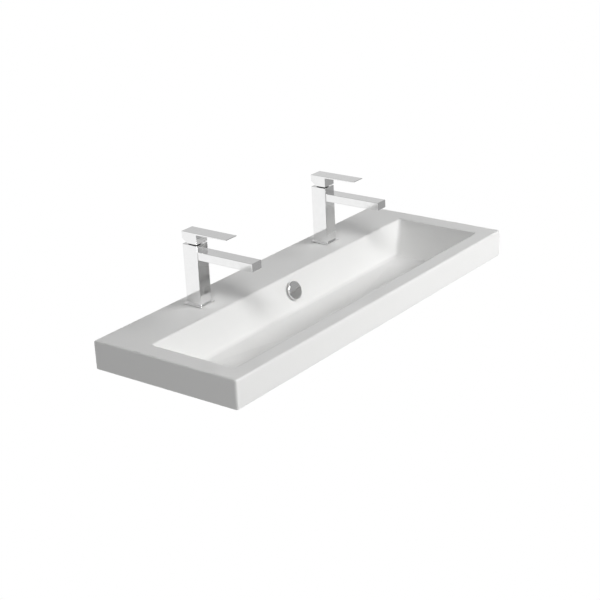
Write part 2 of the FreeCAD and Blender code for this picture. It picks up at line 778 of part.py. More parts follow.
def make_tap_body(side):
    """The cast body with its flat spout, the cartridge chamber, the waterway and the inlets."""
    body = new_body(f"{side}_tap_body", **on_tap(side))
    block(body, HALF_WIDTH, HALF_DEPTH, BODY_FOOT, f"tap_top - {BODY_FOOT}", "body_corner_round")
    spout = sketch_on(body, "XZ_Plane")
    half = f"({HALF_WIDTH} - spout_inset)"
    rectangle(spout, f"-{half}", half, SPOUT_FOOT, f"{SPOUT_FOOT} + spout_height")
    pad(body, spout, f"{HALF_DEPTH} + spout_reach")
    beyond = value(f"-{HALF_DEPTH} - spout_reach / 2")
    top = level("tap_top")
    round_edges(body, "body_edge_round", lambda box: top(box) or box.YMin < beyond)

    drill(body, CHAMBER, "tap_top", CHAMBER_FLOOR)
    ceiling = f"(tap_top - {CHAMBER_FLOOR} - body_bridge)"
    hollow = sketch_on(body, "XY_Plane", BODY_FOOT)
    wide, deep = f"({HALF_WIDTH} - body_foot_wall)", f"({HALF_DEPTH} - body_foot_wall)"
    rounded_rectangle(hollow, f"-{wide}", wide, f"-{deep}", deep, "cavity_corner_round")
    pocket(body, hollow, f"{ceiling} - {BODY_FOOT}", along_normal=True)
    boss = sketch_on(body, "XY_Plane", BODY_FOOT)
    circle(boss, "stud_radius + stud_boss_wall", y="stud_back")
    pad(body, boss, f"{ceiling} - {BODY_FOOT}")
    drill(body, "stud_radius + thread_fit", BODY_FOOT, "stud_thread", y="stud_back", upwards=True)
    for x in ("-inlet_spread", "inlet_spread"):
        drill(body, "inlet_radius", ceiling, "body_bridge", x, "-inlet_front", upwards=True)
    waterway = sketch_on(body, "XZ_Plane", OUTLET)
    foot = f"{SPOUT_FOOT} + waterway_floor"
    rectangle(waterway, "-waterway_width / 2", "waterway_width / 2", foot, f"{foot} + waterway_height")
    pocket(body, waterway, f"{OUTLET} - {CHAMBER} / 2")
    seat = "aerator_height + aerator_washer_thickness"
    drill(body, "aerator_radius", SPOUT_FOOT, seat, y=f"-{OUTLET}", upwards=True)


def make_tap_base(side):
    """The base plate with the step that leaves a shadow line, and the seal under it."""
    place = on_tap(side)
    seal = new_body(f"{side}_base_seal", **place)
    wide, deep = f"({HALF_WIDTH} + base_margin)", f"({HALF_DEPTH} + base_margin)"
    inset = (f"{wide} - base_seal_inset", f"{deep} - base_seal_inset")
    block(seal, *inset, "0", "base_seal_thickness", "base_corner_round")
    drill(seal, "base_opening_radius", "base_seal_thickness", "base_seal_thickness + overrun")
    plate = new_body(f"{side}_base_plate", **place)
    foot = "base_seal_thickness"
    block(plate, wide, deep, foot, "base_plate_thickness", "base_corner_round")
    round_edges(plate, "base_edge_round", level(BASE_TOP))
    step = (f"{HALF_WIDTH} - base_step_inset", f"{HALF_DEPTH} - base_step_inset")
    block(plate, *step, BASE_TOP, "base_step", "body_corner_round")
    drill(plate, "base_opening_radius", BODY_FOOT, "base_plate_thickness + base_step + overrun")


def make_aerator(side):
    """The aerator's housing, its insert with a ring of jets, and the washer above them."""
    place = on_tap(side)
    place["y"] = f"-tap_setback - {OUTLET}"
    foot = SPOUT_FOOT
    top = f"{foot} + aerator_height"
    outer = "(aerator_radius - thread_fit)"
    bore = f"({outer} - aerator_wall)"
    lip = f"({bore} - aerator_lip_width)"
    lip_top = f"{foot} + aerator_lip"
    turned(f"{side}_aerator_housing", place, [
        (lip, foot), (outer, foot), (outer, top), (bore, top), (bore, lip_top), (lip, lip_top),
    ])
    insert = new_body(f"{side}_aerator_insert", **place)
    disc = sketch_on(insert, "XY_Plane", lip_top)
    circle(disc, f"{bore} - thread_fit")
    pad(insert, disc, "aerator_insert_height")
    jets = sketch_on(insert, "XY_Plane", lip_top)
    circle(jets, "aerator_jet_radius")
    for x_share, y_share in ((1, 0), (0.5, 0.866), (-0.5, 0.866), (-1, 0), (-0.5, -0.866), (0.5, -0.866)):
        x, y = (f"{share} * aerator_jet_ring" for share in (x_share, y_share))
        circle(jets, "aerator_jet_radius", x, y)
    pocket(insert, jets, "aerator_insert_height + overrun", along_normal=True)
    washer = (f"{outer} - aerator_washer_width", outer, top, f"{top} + aerator_washer_thickness")
    ring(f"{side}_aerator_washer", place, *washer)


def make_cartridge(side):
    """The clamped pieces of the cartridge: seal, base, fixed disc, housing, nut and dome ring."""
    place = on_tap(side)
    ports = [("-inlet_spread", "-inlet_front"), ("inlet_spread", "-inlet_front")]
    seal_radius = "cartridge_radius - cartridge_seal_margin"
    seal_foot, seal_top = below_top(CHAMBER_FLOOR), below_top(SEAL_TOP)
    plate_top = below_top(PLATE_TOP)
    layers = (
        ("cartridge_seal", seal_radius, seal_foot, "cartridge_seal_thickness"),
        ("cartridge_base", "cartridge_radius", seal_top, "cartridge_base_thickness"),
        ("fixed_disc", f"{HOUSING_BORE} - running_gap", plate_top, "disc_thickness"),
    )
    for name, radius, foot, thickness in layers:
        layer = new_body(f"{side}_{name}", **place)
        disc = sketch_on(layer, "XY_Plane", foot)
        circle(disc, radius)
        for x, y in ports:
            circle(disc, "port_radius", x, y)
        if name != "cartridge_seal":
            circle(disc, "outlet_radius", "0", "outlet_back")
        pad(layer, disc, thickness)
        if name == "cartridge_base":
            groove = sketch_on(layer, "XY_Plane", foot)
            half = "outlet_radius"
            rectangle(groove, f"-{half}", half, "-cartridge_radius - overrun", "outlet_back")
            pocket(layer, groove, "outlet_groove_depth", along_normal=True)
    roof = f"tap_top - {HOUSING_TOP}"
    neck = "(carrier_radius + running_gap)"
    turned(f"{side}_cartridge_housing", place, [
        (HOUSING_BORE, plate_top),
        ("cartridge_radius", plate_top),
        ("cartridge_radius", roof),
        (neck, roof),
        (neck, f"{roof} - housing_roof"),
        (HOUSING_BORE, f"{roof} - housing_roof"),
    ])
    nut_top = "tap_top - dome_seat"
    nut_outer = f"{CHAMBER} - thread_fit"
    nut = ring(f"{side}_cartridge_nut", place, DOME_BORE, nut_outer, roof, nut_top)
    notch = sketch_on(nut, "XY_Plane", nut_top)
    across = f"({CHAMBER} + overrun)"
    rectangle(notch, "-nut_notch_width / 2", "nut_notch_width / 2", f"-{across}", across)
    pocket(nut, notch, "nut_notch_depth")
    collar = "tap_top + dome_collar"
    crown = "tap_top + dome_height"
    dome = turned(f"{side}_dome_ring", place, [
        (DOME_BORE, nut_top),
        ("dome_radius", nut_top),
        ("dome_radius", collar),
        ("dome_radius - dome_taper", crown),
        (DOME_BORE, crown),
    ])
    round_edges(dome, "dome_round", outermost(collar, "dome_radius"))


def make_carrier(side):
    """The carrier that swivels in the housing, and the pin that the spindle tilts on."""
    place = on_tap(side)
    flange = f"{HOUSING_BORE} - carrier_flange_margin"
    foot, shoulder = below_top(FLANGE_FOOT), below_top(FLANGE_TOP)
    top = "tap_top - dome_seat - carrier_sink"
    carrier = turned(f"{side}_carrier", place, [
        ("0", foot),
        (flange, foot),
        (flange, shoulder),
        ("carrier_radius", shoulder),
        ("carrier_radius", top),
        ("0", top),
    ])
    slot = sketch_on(carrier, "XY_Plane", foot)
    half, length = "(spindle_width / 2 + running_gap)", "carrier_slot_length / 2"
    rounded_rectangle(slot, f"-{half}", half, f"-{length}", length, "carrier_slot_round")
    pocket(carrier, slot, f"{top} - ({foot}) + overrun", along_normal=True)
    pivot = "tap_top - pivot_drop"
    bore = sketch_on(carrier, "YZ_Plane")
    circle(bore, "pivot_pin_radius + shaft_fit", "0", pivot)
    pocket(carrier, bore, "2 * carrier_radius + overrun", both_ways=True)
    pin = new_body(f"{side}_pivot_pin", **place)
    rod = sketch_on(pin, "YZ_Plane")
    circle(rod, "pivot_pin_radius", "0", pivot)
    pad(pin, rod, "2 * (carrier_radius - running_gap)", both_ways=True)


def make_discs(side):
    """The moving disc with its mixing recess, and the driver that the spindle's ball pushes."""
    place = on_tap(side)
    moving = new_body(f"{side}_moving_disc", **place)
    foot = below_top(FIXED_TOP)
    disc = sketch_on(moving, "XY_Plane", foot)
    circle(disc, "moving_disc_radius")
    pad(moving, disc, "disc_thickness")
    recess = sketch_on(moving, "XY_Plane", foot)
    half = "recess_width / 2"
    rounded_rectangle(recess, f"-{half}", half, "recess_front", "recess_back", "recess_round")
    pocket(moving, recess, "recess_depth", along_normal=True)
    bore = "ball_radius + ball_gap"
    levels = (below_top(MOVING_TOP), below_top(DRIVER_TOP))
    ring(f"{side}_disc_driver", place, bore, "moving_disc_radius", *levels)


def make_spindle(side):
    """The square spindle with the finger and ball that move the disc."""
    spindle = new_body(f"{side}_spindle", **on_tap(side))
    pivot = "tap_top - pivot_drop"
    foot = f"({pivot} - spindle_skirt)"
    half = "spindle_width / 2"
    stem = sketch_on(spindle, "XY_Plane", foot)
    rectangle(stem, f"-{half}", half, f"-{half}", half)
    pad(spindle, stem, f"tap_top + spindle_rise - {foot}")
    ball_height = f"tap_top - {DRIVER_TOP} - ball_sink"
    finger = sketch_on(spindle, "XY_Plane", foot)
    circle(finger, "finger_radius")
    pad(spindle, finger, f"{foot} - ({ball_height})", backwards=True)
    ball = spindle.newObject("PartDesign::AdditiveSphere", "finger_ball")
    bind(ball, "Radius", "ball_radius")
    bind(ball, "Placement.Base.z", ball_height)
    settle(spindle, ball, adds=True)
    bore = sketch_on(spindle, "YZ_Plane")
    circle(bore, "pivot_pin_radius + shaft_fit", "0", pivot)
    pocket(spindle, bore, "spindle_width + overrun", both_ways=True)


def make_lever(side):
    """The lever: a block with a cut-back heel and a tapering paddle, hollow over the dome ring."""
    place = on_tap(side)
    lever = new_body(f"{side}_lever", **place)
    foot = "(tap_top + lever_gap)"
    top = f"({foot} + lever_height)"
    front, back = f"-{HALF_DEPTH}", HALF_DEPTH
    tip = f"{front} - lever_reach"
    outline = sketch_on(lever, "YZ_Plane")
    polygon(outline, [
        (front, foot),
        (f"{back} - heel_run", foot),
        (back, f"{foot} + heel_rise"),
        (back, top),
        (tip, top),
        (tip, f"{top} - paddle_tip"),
        (front, f"{top} - paddle_root"),
    ])
    pad(lever, outline, f"2 * {HALF_WIDTH}", both_ways=True)
    inner_corner = value(f"{top} - paddle_root")
    round_edges(lever, "lever_edge_round", lambda box: abs(box.Center.z - inner_corner) > SAME_PLACE)
    ceiling = f"({foot} + lever_cavity_height)"
    drill(lever, "dome_radius + lever_cavity_gap", foot, "lever_cavity_height", upwards=True)
    socket = sketch_on(lever, "XY_Plane", ceiling)
    half = "(spindle_width / 2 + shaft_fit)"
    rectangle(socket, f"-{half}", half, f"-{half}", half)
    pocket(lever, socket, "socket_rise", along_normal=True)

    height = f"({foot} + screw_height)"
    bores = {"screw_radius": half, "indicator_radius": f"{back} - indicator_thickness"}
    for radius, near in bores.items():
        hole = sketch_on(lever, "XZ_Plane", f"-({near})")
        circle(hole, f"{radius} + thread_fit", "0", height)
        pocket(lever, hole, f"{back} - ({near}) + overrun")
    screw = new_body(f"{side}_lever_screw", **place)
    rod = sketch_on(screw, "XZ_Plane", "-spindle_width / 2")
    circle(rod, "screw_radius", "0", height)
    pad(screw, rod, "screw_length", backwards=True)
    key = sketch_on(screw, "XZ_Plane", "-spindle_width / 2 - screw_length")
    hexagon(key, "screw_key_across", "0", height)
    pocket(screw, key, "screw_key_depth", along_normal=True)
    indicator = new_body(f"{side}_lever_indicator", **place)
    button = sketch_on(indicator, "XZ_Plane", f"-({back} - indicator_thickness)")
    circle(button, "indicator_radius", "0", height)
    pad(indicator, button, "indicator_thickness", backwards=True)


def group(label, members):
    """One node for like pieces at both taps, each still a solid of its own."""
    for member in members:
        pieces.remove(member)
    both = doc.addObject("Part::Compound", label)
    both.Label = label
    both.Links = members
    pieces.append(both)


def make_clamp(side):
    """The stud, gasket, washer and nut that clamp a tap to the deck from below."""
    place = on_tap(side)
    stack = "deck_thickness"
    plates = []
    for name in ("clamp_gasket", "clamp_washer"):
        thickness = f"{name}_thickness"
        plate = new_body(f"{side}_{name}", **place)
        outline = sketch_on(plate, "XY_Plane", f"-({stack})")
        circle(outline, "clamp_radius")
        circle(outline, "stud_radius + running_gap", "0", "stud_back")
        pad(plate, outline, thickness, backwards=True)
        slot = sketch_on(plate, "XY_Plane", f"-({stack})")
        half = "clamp_slot_width / 2"
        rectangle(slot, f"-{half}", half, "-clamp_radius - overrun", "clamp_slot_depth")
        pocket(plate, slot, thickness)
        stack = f"{stack} + {thickness}"
        plates.append(plate)
    nut = new_body(f"{side}_clamp_nut", **place)
    flats = sketch_on(nut, "XY_Plane", f"-({stack})")
    hexagon(flats, "clamp_nut_across", "0", "stud_back")
    circle(flats, "stud_radius + thread_fit", "0", "stud_back")
    pad(nut, flats, "clamp_nut_height", backwards=True)
    stud = new_body(f"{side}_tap_stud", **place)
    rod = sketch_on(stud, "XY_Plane", f"-({stack} + stud_tail)")
    circle(rod, "stud_radius", "0", "stud_back")
    pad(stud, rod, f"{stack} + stud_tail + {BODY_FOOT} + stud_thread")
    return plates + [nut, stud]


make_basin()
make_overflow()
make_waste()
make_plug()
for side in SIDES:
    make_tap_base(side)
    make_tap_body(side)
    make_aerator(side)
    make_cartridge(side)
    make_carrier(side)
    make_discs(side)
    make_spindle(side)
    make_lever(side)
clamps = zip(make_clamp("left"), make_clamp("right"))
for label, members in zip(("clamp_gaskets", "clamp_washers", "clamp_nuts", "tap_studs"), clamps):
    group(label, list(members))
doc.recompute()

for thing in doc.Objects:
    if "Invalid" in thing.State or "Error" in thing.State:
        raise ValueError(f"{thing.Label} did not recompute: {thing.State}")
for piece in pieces:
    if piece.Shape.isNull() or not piece.Shape.isValid():
        raise ValueError(f"{piece.Label} has no valid shape")
os.makedirs("parts", exist_ok=True)
for piece in pieces:
    piece.Shape.exportStep(f"parts/{piece.Label}.step")
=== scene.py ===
"""The looks of a trough basin with two square mixer taps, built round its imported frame."""

import math

import bpy
import numpy as np
from bpy.props import FloatProperty, FloatVectorProperty, IntProperty, PointerProperty
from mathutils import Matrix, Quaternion, Vector


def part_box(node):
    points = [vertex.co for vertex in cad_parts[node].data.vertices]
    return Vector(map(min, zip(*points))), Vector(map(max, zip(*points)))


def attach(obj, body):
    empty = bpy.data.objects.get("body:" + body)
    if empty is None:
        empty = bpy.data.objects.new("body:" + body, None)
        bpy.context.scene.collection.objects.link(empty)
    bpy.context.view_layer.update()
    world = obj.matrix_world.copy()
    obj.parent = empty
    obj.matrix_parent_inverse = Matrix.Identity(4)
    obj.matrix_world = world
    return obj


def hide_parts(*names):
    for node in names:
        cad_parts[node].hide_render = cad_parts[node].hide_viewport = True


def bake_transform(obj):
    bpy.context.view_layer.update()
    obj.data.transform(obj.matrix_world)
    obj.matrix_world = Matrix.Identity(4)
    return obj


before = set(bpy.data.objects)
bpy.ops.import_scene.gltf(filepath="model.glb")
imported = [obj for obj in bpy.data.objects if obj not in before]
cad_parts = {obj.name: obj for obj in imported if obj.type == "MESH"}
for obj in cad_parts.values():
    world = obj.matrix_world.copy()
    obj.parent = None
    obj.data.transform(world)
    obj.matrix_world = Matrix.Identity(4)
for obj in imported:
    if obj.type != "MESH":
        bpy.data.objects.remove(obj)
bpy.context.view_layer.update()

bl_info = {
    "name": "Trough Basin",
    "version": (1, 0, 0),
    "blender": (4, 5, 0),
    "location": "3D View > Sidebar > Basin",
    "description": "Glazed basin, chromed taps, waste and studio stage around the packed frame",
    "category": "Object",
}

SIDES = ("left", "right")
FIXED, PLUG = "fixed", "plug"
MM = 0.001

# A turned piece starts this far from its axis, and a lid closes it there.
POLE = 0.4 * MM
# Points in a turn of a plain, a fine, a threaded, a slim and a perforated piece, and rows to a pitch.
ROUND_STEPS, FINE_STEPS, TUBE_STEPS, STUD_STEPS, DRUM_STEPS = 64, 128, 96, 32, 150
THREAD_ROWS = 12
LIDS = ("first", "last")

# Places and sizes that the frame gives, in metres.
BASIN_LOW, BASIN_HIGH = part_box("basin")
WASTE_LOW, WASTE_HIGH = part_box("waste_body")
WASTE_AXIS = np.array((WASTE_LOW + WASTE_HIGH) / 2)[:2]

# The studio, in metres and degrees: a tent whose glow falls to its least between two shares of its radius,
# and a grey card, by its half width, half height and distance, along a way from the origin.
SKY_LEVEL = 0.03
TENT_TOP, TENT_FOOT = 89.9, -25.0
TENT_FADE_SHARES, TENT_LEAST = (0.05, 0.70), 0.22
CARD_SIZES, CARD_WAY = (0.9, 1.6, 2.2), (0.733, -0.62, -0.05)
SENSOR_MM, FARTHEST = 36.0, 200.0

# Soft lights: place, aim, width, height, watts, and whether bright surfaces show them.
AIM = (0.1, -0.3, 0.0)
SOFTBOXES = {
    "front_box": ((1.82, -3.28, 1.83), AIM, 2.0, 0.9, 104.0, True),
    "key": ((-2.8, -1.9, 3.6), AIM, 1.1, 1.1, 83.0, True),
    "front_bounce": ((0.58, -3.04, -1.95), AIM, 3.0, 1.2, 32.0, False),
    "left_bounce": ((-3.2, -0.6, -1.2), AIM, 1.5, 0.8, 3.5, False),
    "floor_bounce": ((0.3, -0.6, -2.4), (0.3, -0.6, 0.0), 5.0, 4.0, 70.0, False),
    "wall_bounce": ((0.5, 3.2, -0.7), (0.0, 0.0, 0.0), 4.0, 1.5, 70.0, False),
}

# Shares of a colour's light left in the dark patches of metal, moulded pieces and bare clay, and the share
# of the clay's cream in the glaze's warm clouds.
METAL_DARK_SHARE, MOULDED_DARK_SHARE, SAND_DARK_SHARE = 0.93, 0.85, 0.82
WARM_SHARE = 0.03

# Settings that nodes share: the middle stretch of a noise, an eased range, and a mix of colours.
MIDDLE = {"_1": 0.3, "_2": 0.7}
SMOOTH = {"interpolation_type": "SMOOTHSTEP"}
TONES = {"data_type": "RGBA"}


def tap_axis(side):
    """The plan place of a tap's own axis: the middle of its base plate."""
    low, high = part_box(f"{side}_base_plate")
    return np.array((low + high) / 2)[:2]


def length(name, text, value):
    """A size in metres that a user may change."""
    return FloatProperty(name=name, description=text, default=value, unit="LENGTH", precision=5)


def tilt(name, text, degrees):
    """An angle that a user may change, given here in degrees."""
    return FloatProperty(name=name, description=text, default=math.radians(degrees), subtype="ANGLE")


def linear(code):
    """An sRGB hex colour as linear red, green, blue and alpha."""
    channels = np.array([int(code[i:i + 2], 16) for i in (1, 3, 5)]) / 255
    low, high = channels / 12.92, ((channels + 0.055) / 1.055) ** 2.4
    return (*np.where(channels <= 0.04045, low, high), 1.0)


def shade(name, text, code):
    """A colour that a user may change, given here as sRGB hex digits."""
    return FloatVectorProperty(name=name, description=text, default=linear(code), size=4,
                               subtype="COLOR", min=0.0, max=1.0)


class ChinaSizes(bpy.types.PropertyGroup):
    """Sizes of the fired clay body; the overall box comes from the frame."""

    width: length("Width", "Overall width of the slab", BASIN_HIGH.x - BASIN_LOW.x)
    depth: length("Depth", "Overall depth from the wall", BASIN_HIGH.y - BASIN_LOW.y)
    rim: length("Rim height", "Height of the deck in the frame", BASIN_HIGH.z)
    boss_foot: length("Boss foot", "Height of the waste boss's foot in the frame", BASIN_LOW.z)
    height: length("Slab height", "Height of the slab's outer faces", 0.075)
    corner: length("Corner", "Rounding of the slab's upright corners", 0.007)
    edge: length("Edge", "Rounding of the deck's outer edge", 0.005)
    foot_edge: length("Foot edge", "Rounding of the skirt's lower edges", 0.002)
    skirt: length("Skirt wall", "Thickness of the skirt", 0.014)
    skirt_corner: length("Skirt corner", "Inner corner rounding of the skirt", 0.012)
    deck: length("Deck thickness", "Thickness of the deck", 0.016)
    side_rim: length("Side rim", "Rim at each end of the bowl", 0.056)
    front_rim: length("Front rim", "Rim in front of the bowl", 0.048)
    deck_depth: length("Deck depth", "Tap deck behind the bowl", 0.142)
    bowl_drop: length("Bowl drop", "Depth of the bowl at the foot of its walls", 0.090)
    floor_fall: length("Floor fall", "Fall of the floor towards the waste", 0.005)
    end_run: length("End run", "How far each end wall leans in", 0.065)
    back_run: length("Back run", "How far the back wall leans in", 0.033)
    front_run: length("Front run", "How far the front wall leans in", 0.025)
    rim_corner: length("Rim corner", "Bowl's corner rounding at the rim", 0.010)
    floor_corner: length("Floor corner", "Bowl's corner rounding at the floor", 0.014)
    floor_round: length("Floor round", "Rounding between walls and floor", 0.012)
    bowl_edge: length("Bowl edge", "Rounding of the bowl's upper edge", 0.006)
    bowl_wall: length("Bowl wall", "Thickness of the bowl's shell", 0.012)
    shell_round: length("Shell round", "Rounding under the bowl's shell", 0.024)
    cast_round: length("Cast round", "Inside roundings that slip casting leaves", 0.008)
    seat_radius: length("Seat radius", "Recess for the waste flange", 0.0325)
    seat_depth: length("Seat depth", "Depth of that recess", 0.005)
    seat_edge: length("Seat edge", "Rounding of the recess's lip", 0.0015)
    waste_hole: length("Waste hole", "Radius of the waste hole", 0.023)
    boss_radius: length("Boss radius", "Radius of the boss round the waste hole", 0.037)
    channel_half: length("Channel half width", "Half the width of the overflow channel's hump", 0.032)
    channel_side: length("Channel side", "Width over which the hump's flanks fall away", 0.016)
    channel_out: length("Channel depth", "How far the hump stands behind the back wall", 0.023)
    overflow_drop: length("Overflow drop", "Overflow's depth below the rim", 0.041)
    overflow_hole: length("Overflow hole", "Radius of the overflow hole", 0.01205)
    tap_hole: length("Tap hole", "Radius of each tap hole", 0.0175)
    fixing_hole: length("Fixing hole", "Radius of each wall-fixing hole", 0.007)
    fixing_half: length("Fixing half spacing", "Half the spacing of the wall-fixing holes", 0.350)


class MetalSizes(bpy.types.PropertyGroup):
    """Sizes of the turned, threaded and wound metal pieces; their places come from the frame."""

    cap_radius: length("Overflow cap radius", "Radius of the overflow cap", 0.0255)
    cap_proud: length("Overflow cap proud", "How far the cap's face stands off the wall", 0.010)
    cap_skirt: length("Overflow cap skirt", "Height of the overflow cap's side", 0.0065)
    cap_wall: length("Overflow cap wall", "Thickness of the overflow cap", 0.0015)
    cap_edge: length("Overflow cap edge", "Rounding of the overflow cap's edge", 0.0025)
    cap_hub: length("Overflow cap hub", "Radius of the hub behind the cap", 0.005)
    cap_stem: length("Overflow cap stem", "Radius of the cap's stem", 0.0025)
    cap_hub_foot: length("Overflow hub foot", "Height of the hub's foot off the wall", 0.0025)
    cap_stem_foot: length("Overflow stem foot", "Height of the stem's foot off the wall", -0.0025)
    crown: length("Crown", "Rise of the faces of the overflow cap and the plug", 0.0007)
    plug_edge: length("Plug edge", "Rounding of the plug's edge", 0.0018)
    plug_groove: length("Plug groove", "Depth of the groove for the plug's seal", 0.0022)
    plug_groove_outer: length("Groove outer radius", "Outer radius of that groove", 0.027)
    plug_groove_inner: length("Groove inner radius", "Inner radius of that groove", 0.023)
    plug_socket: length("Plug socket", "Depth of the socket for the stem", 0.0025)
    plug_socket_radius: length("Plug socket radius", "Radius of that socket", 0.00505)
    waste_radius: length("Waste radius", "Outer radius of the waste's thread", 0.020955)
    waste_wall: length("Waste wall", "Thickness of the waste's tube", 0.0025)
    waste_flange: length("Waste flange", "Thickness of the waste's flange", 0.003)
    waste_flange_edge: length("Waste flange edge", "Rounding of the flange's edge", 0.0012)
    waste_flare: length("Waste flare", "How far the waste's mouth widens", 0.0022)
    waste_funnel: length("Waste funnel", "Depth of the widened mouth", 0.008)
    waste_thread: length("Waste thread", "Length of thread for the trap", 0.0135)
    waste_relief: length("Waste relief", "Width of the groove above that thread", 0.003)
    waste_relief_depth: length("Waste relief depth", "Depth of that groove", 0.0008)
    waste_pitch: length("Waste pitch", "Pitch of the waste's pipe thread", 0.002309)
    waste_thread_depth: length("Waste thread depth", "Depth of that thread", 0.0012)
    slot_top: length("Slot top", "Depth of the waste slots' top below the floor", 0.0135)
    slot_foot: length("Slot foot", "Depth of the waste slots' foot below the floor", 0.0225)
    slot_width: length("Slot width", "Width of the waste slots", 0.012)
    spider_top: length("Spider top", "Depth of the spider below the floor", 0.026)
    spider_height: length("Spider height", "Height of the spider", 0.008)
    spider_bar: length("Spider bar", "Width of the spider's bars", 0.005)
    spider_hub: length("Spider hub", "Radius of the spider's hub", 0.012)
    spider_bore: length("Spider bore", "Radius of the hole for the plug's sleeve", 0.00805)
    nut_bevel: length("Nut bevel", "Bevel at each end of a nut's bore", 0.0006)
    clamp_nut_across: length("Clamp nut across", "Clamp nuts across their flats", 0.013)
    stud_radius: length("Stud radius", "Radius of the tap studs", 0.004)
    stud_pitch: length("Stud pitch", "Pitch of the tap studs' thread", 0.00125)
    stud_thread_depth: length("Stud thread depth", "Depth of that thread", 0.0007)
    spring_wire: length("Spring wire", "Radius of the plug spring's wire", 0.0006)
    spring_turns: IntProperty(name="Spring turns", description="Turns of the plug spring", default=5)
    mesh_hole: length("Mesh hole", "Spacing of the aerator's holes", 0.0016)
    mesh_depth: length("Mesh depth", "Depth of the aerator's holes", 0.0015)


class Finishes(bpy.types.PropertyGroup):
    """Colours of the finishes and of the studio."""

    glaze: shade("Glaze", "White sanitary glaze", "#F5F5F4")
    bisque: shade("Bisque", "Unglazed fired clay", "#E6DFD2")
    chrome: shade("Chrome", "Bright chromium plate", "#F3F3F3")
    # Painted shade: the ring under each lever is tinted dark to stand for the shade in the gap there.
    nickel: shade("Dark nickel", "Dark nickel plate", "#2C2D2F")
    brass: shade("Brass", "Turned brass", "#C8A45E")
    zinc: shade("Zinc", "Zinc-plated steel", "#B4B9BE")
    stainless: shade("Stainless", "Stainless spring steel", "#C7C9CB")
    rubber: shade("Rubber", "Black EPDM rubber", "#191A1C")
    acetal: shade("Acetal", "Natural acetal", "#E4E2DB")
    alumina: shade("Alumina", "Lapped alumina", "#F0EDE4")
    hot: shade("Hot", "Hot mark", "#B3202A")
    cold: shade("Cold", "Cold mark", "#1F4FA8")
    floor: shade("Floor", "Pale studio floor and tent", "#FFFFFF")
    card: shade("Card", "Grey studio card", "#A5A5A5")


class StageSettings(bpy.types.PropertyGroup):
    """Camera and light of the studio."""

    azimuth: tilt("Azimuth", "Camera's turn round the basin", -52.03)
    elevation: tilt("Elevation", "Camera's angle above the horizon", 21.58)
    roll: tilt("Roll", "Camera's lean", 2.87)
    lens: FloatProperty(name="Lens", description="Focal length", default=88.14, subtype="DISTANCE_CAMERA")
    eye: FloatVectorProperty(name="Eye", description="Camera's place", default=(-2.8932, -2.4370, 1.4329),
                             subtype="TRANSLATION", unit="LENGTH")
    floor_drop: length("Floor drop", "How far the floor lies below the frame's origin", 2.6)
    floor_half: length("Floor half size", "Half the size of the floor", 60.0)
    tent: length("Tent radius", "Radius of the white tent round the studio", 9.0)


def darker(colour, share):
    """A linear colour with only a share of its light left."""
    return (*(share * c for c in colour[:3]), 1.0)


def add_node(tree, kind, settings=(), **inputs):
    """Add a node, set its properties, and give its inputs values or links, by name or by _number."""
    node = tree.nodes.new(kind)
    for name, value in dict(settings).items():
        setattr(node, name, value)
    for name, value in inputs.items():
        key = int(name[1:]) if name[1:].isdigit() else name.replace("_", " ")
        socket = node.inputs[key]
        if isinstance(value, bpy.types.NodeSocket):
            tree.links.new(value, socket)
        else:
            socket.default_value = value
    return node


def new_material(name):
    """A material with an empty node tree."""
    material = bpy.data.materials.new(name)
    material.use_nodes = True
    material.node_tree.nodes.clear()
    return material, material.node_tree


def mottle(tree, grain, detail=2.0, stretch=(1, 1, 1)):
    """A cloudy pattern in Object coordinates whose lumps are one grain, in millimetres, across."""
    place = add_node(tree, "ShaderNodeTexCoord").outputs["Object"]
    mapped = add_node(tree, "ShaderNodeMapping", Vector=place, Scale=stretch).outputs["Vector"]
    noise = add_node(tree, "ShaderNodeTexNoise", Vector=mapped, Scale=1 / (grain * MM), Detail=detail)
    return noise.outputs["Fac"]


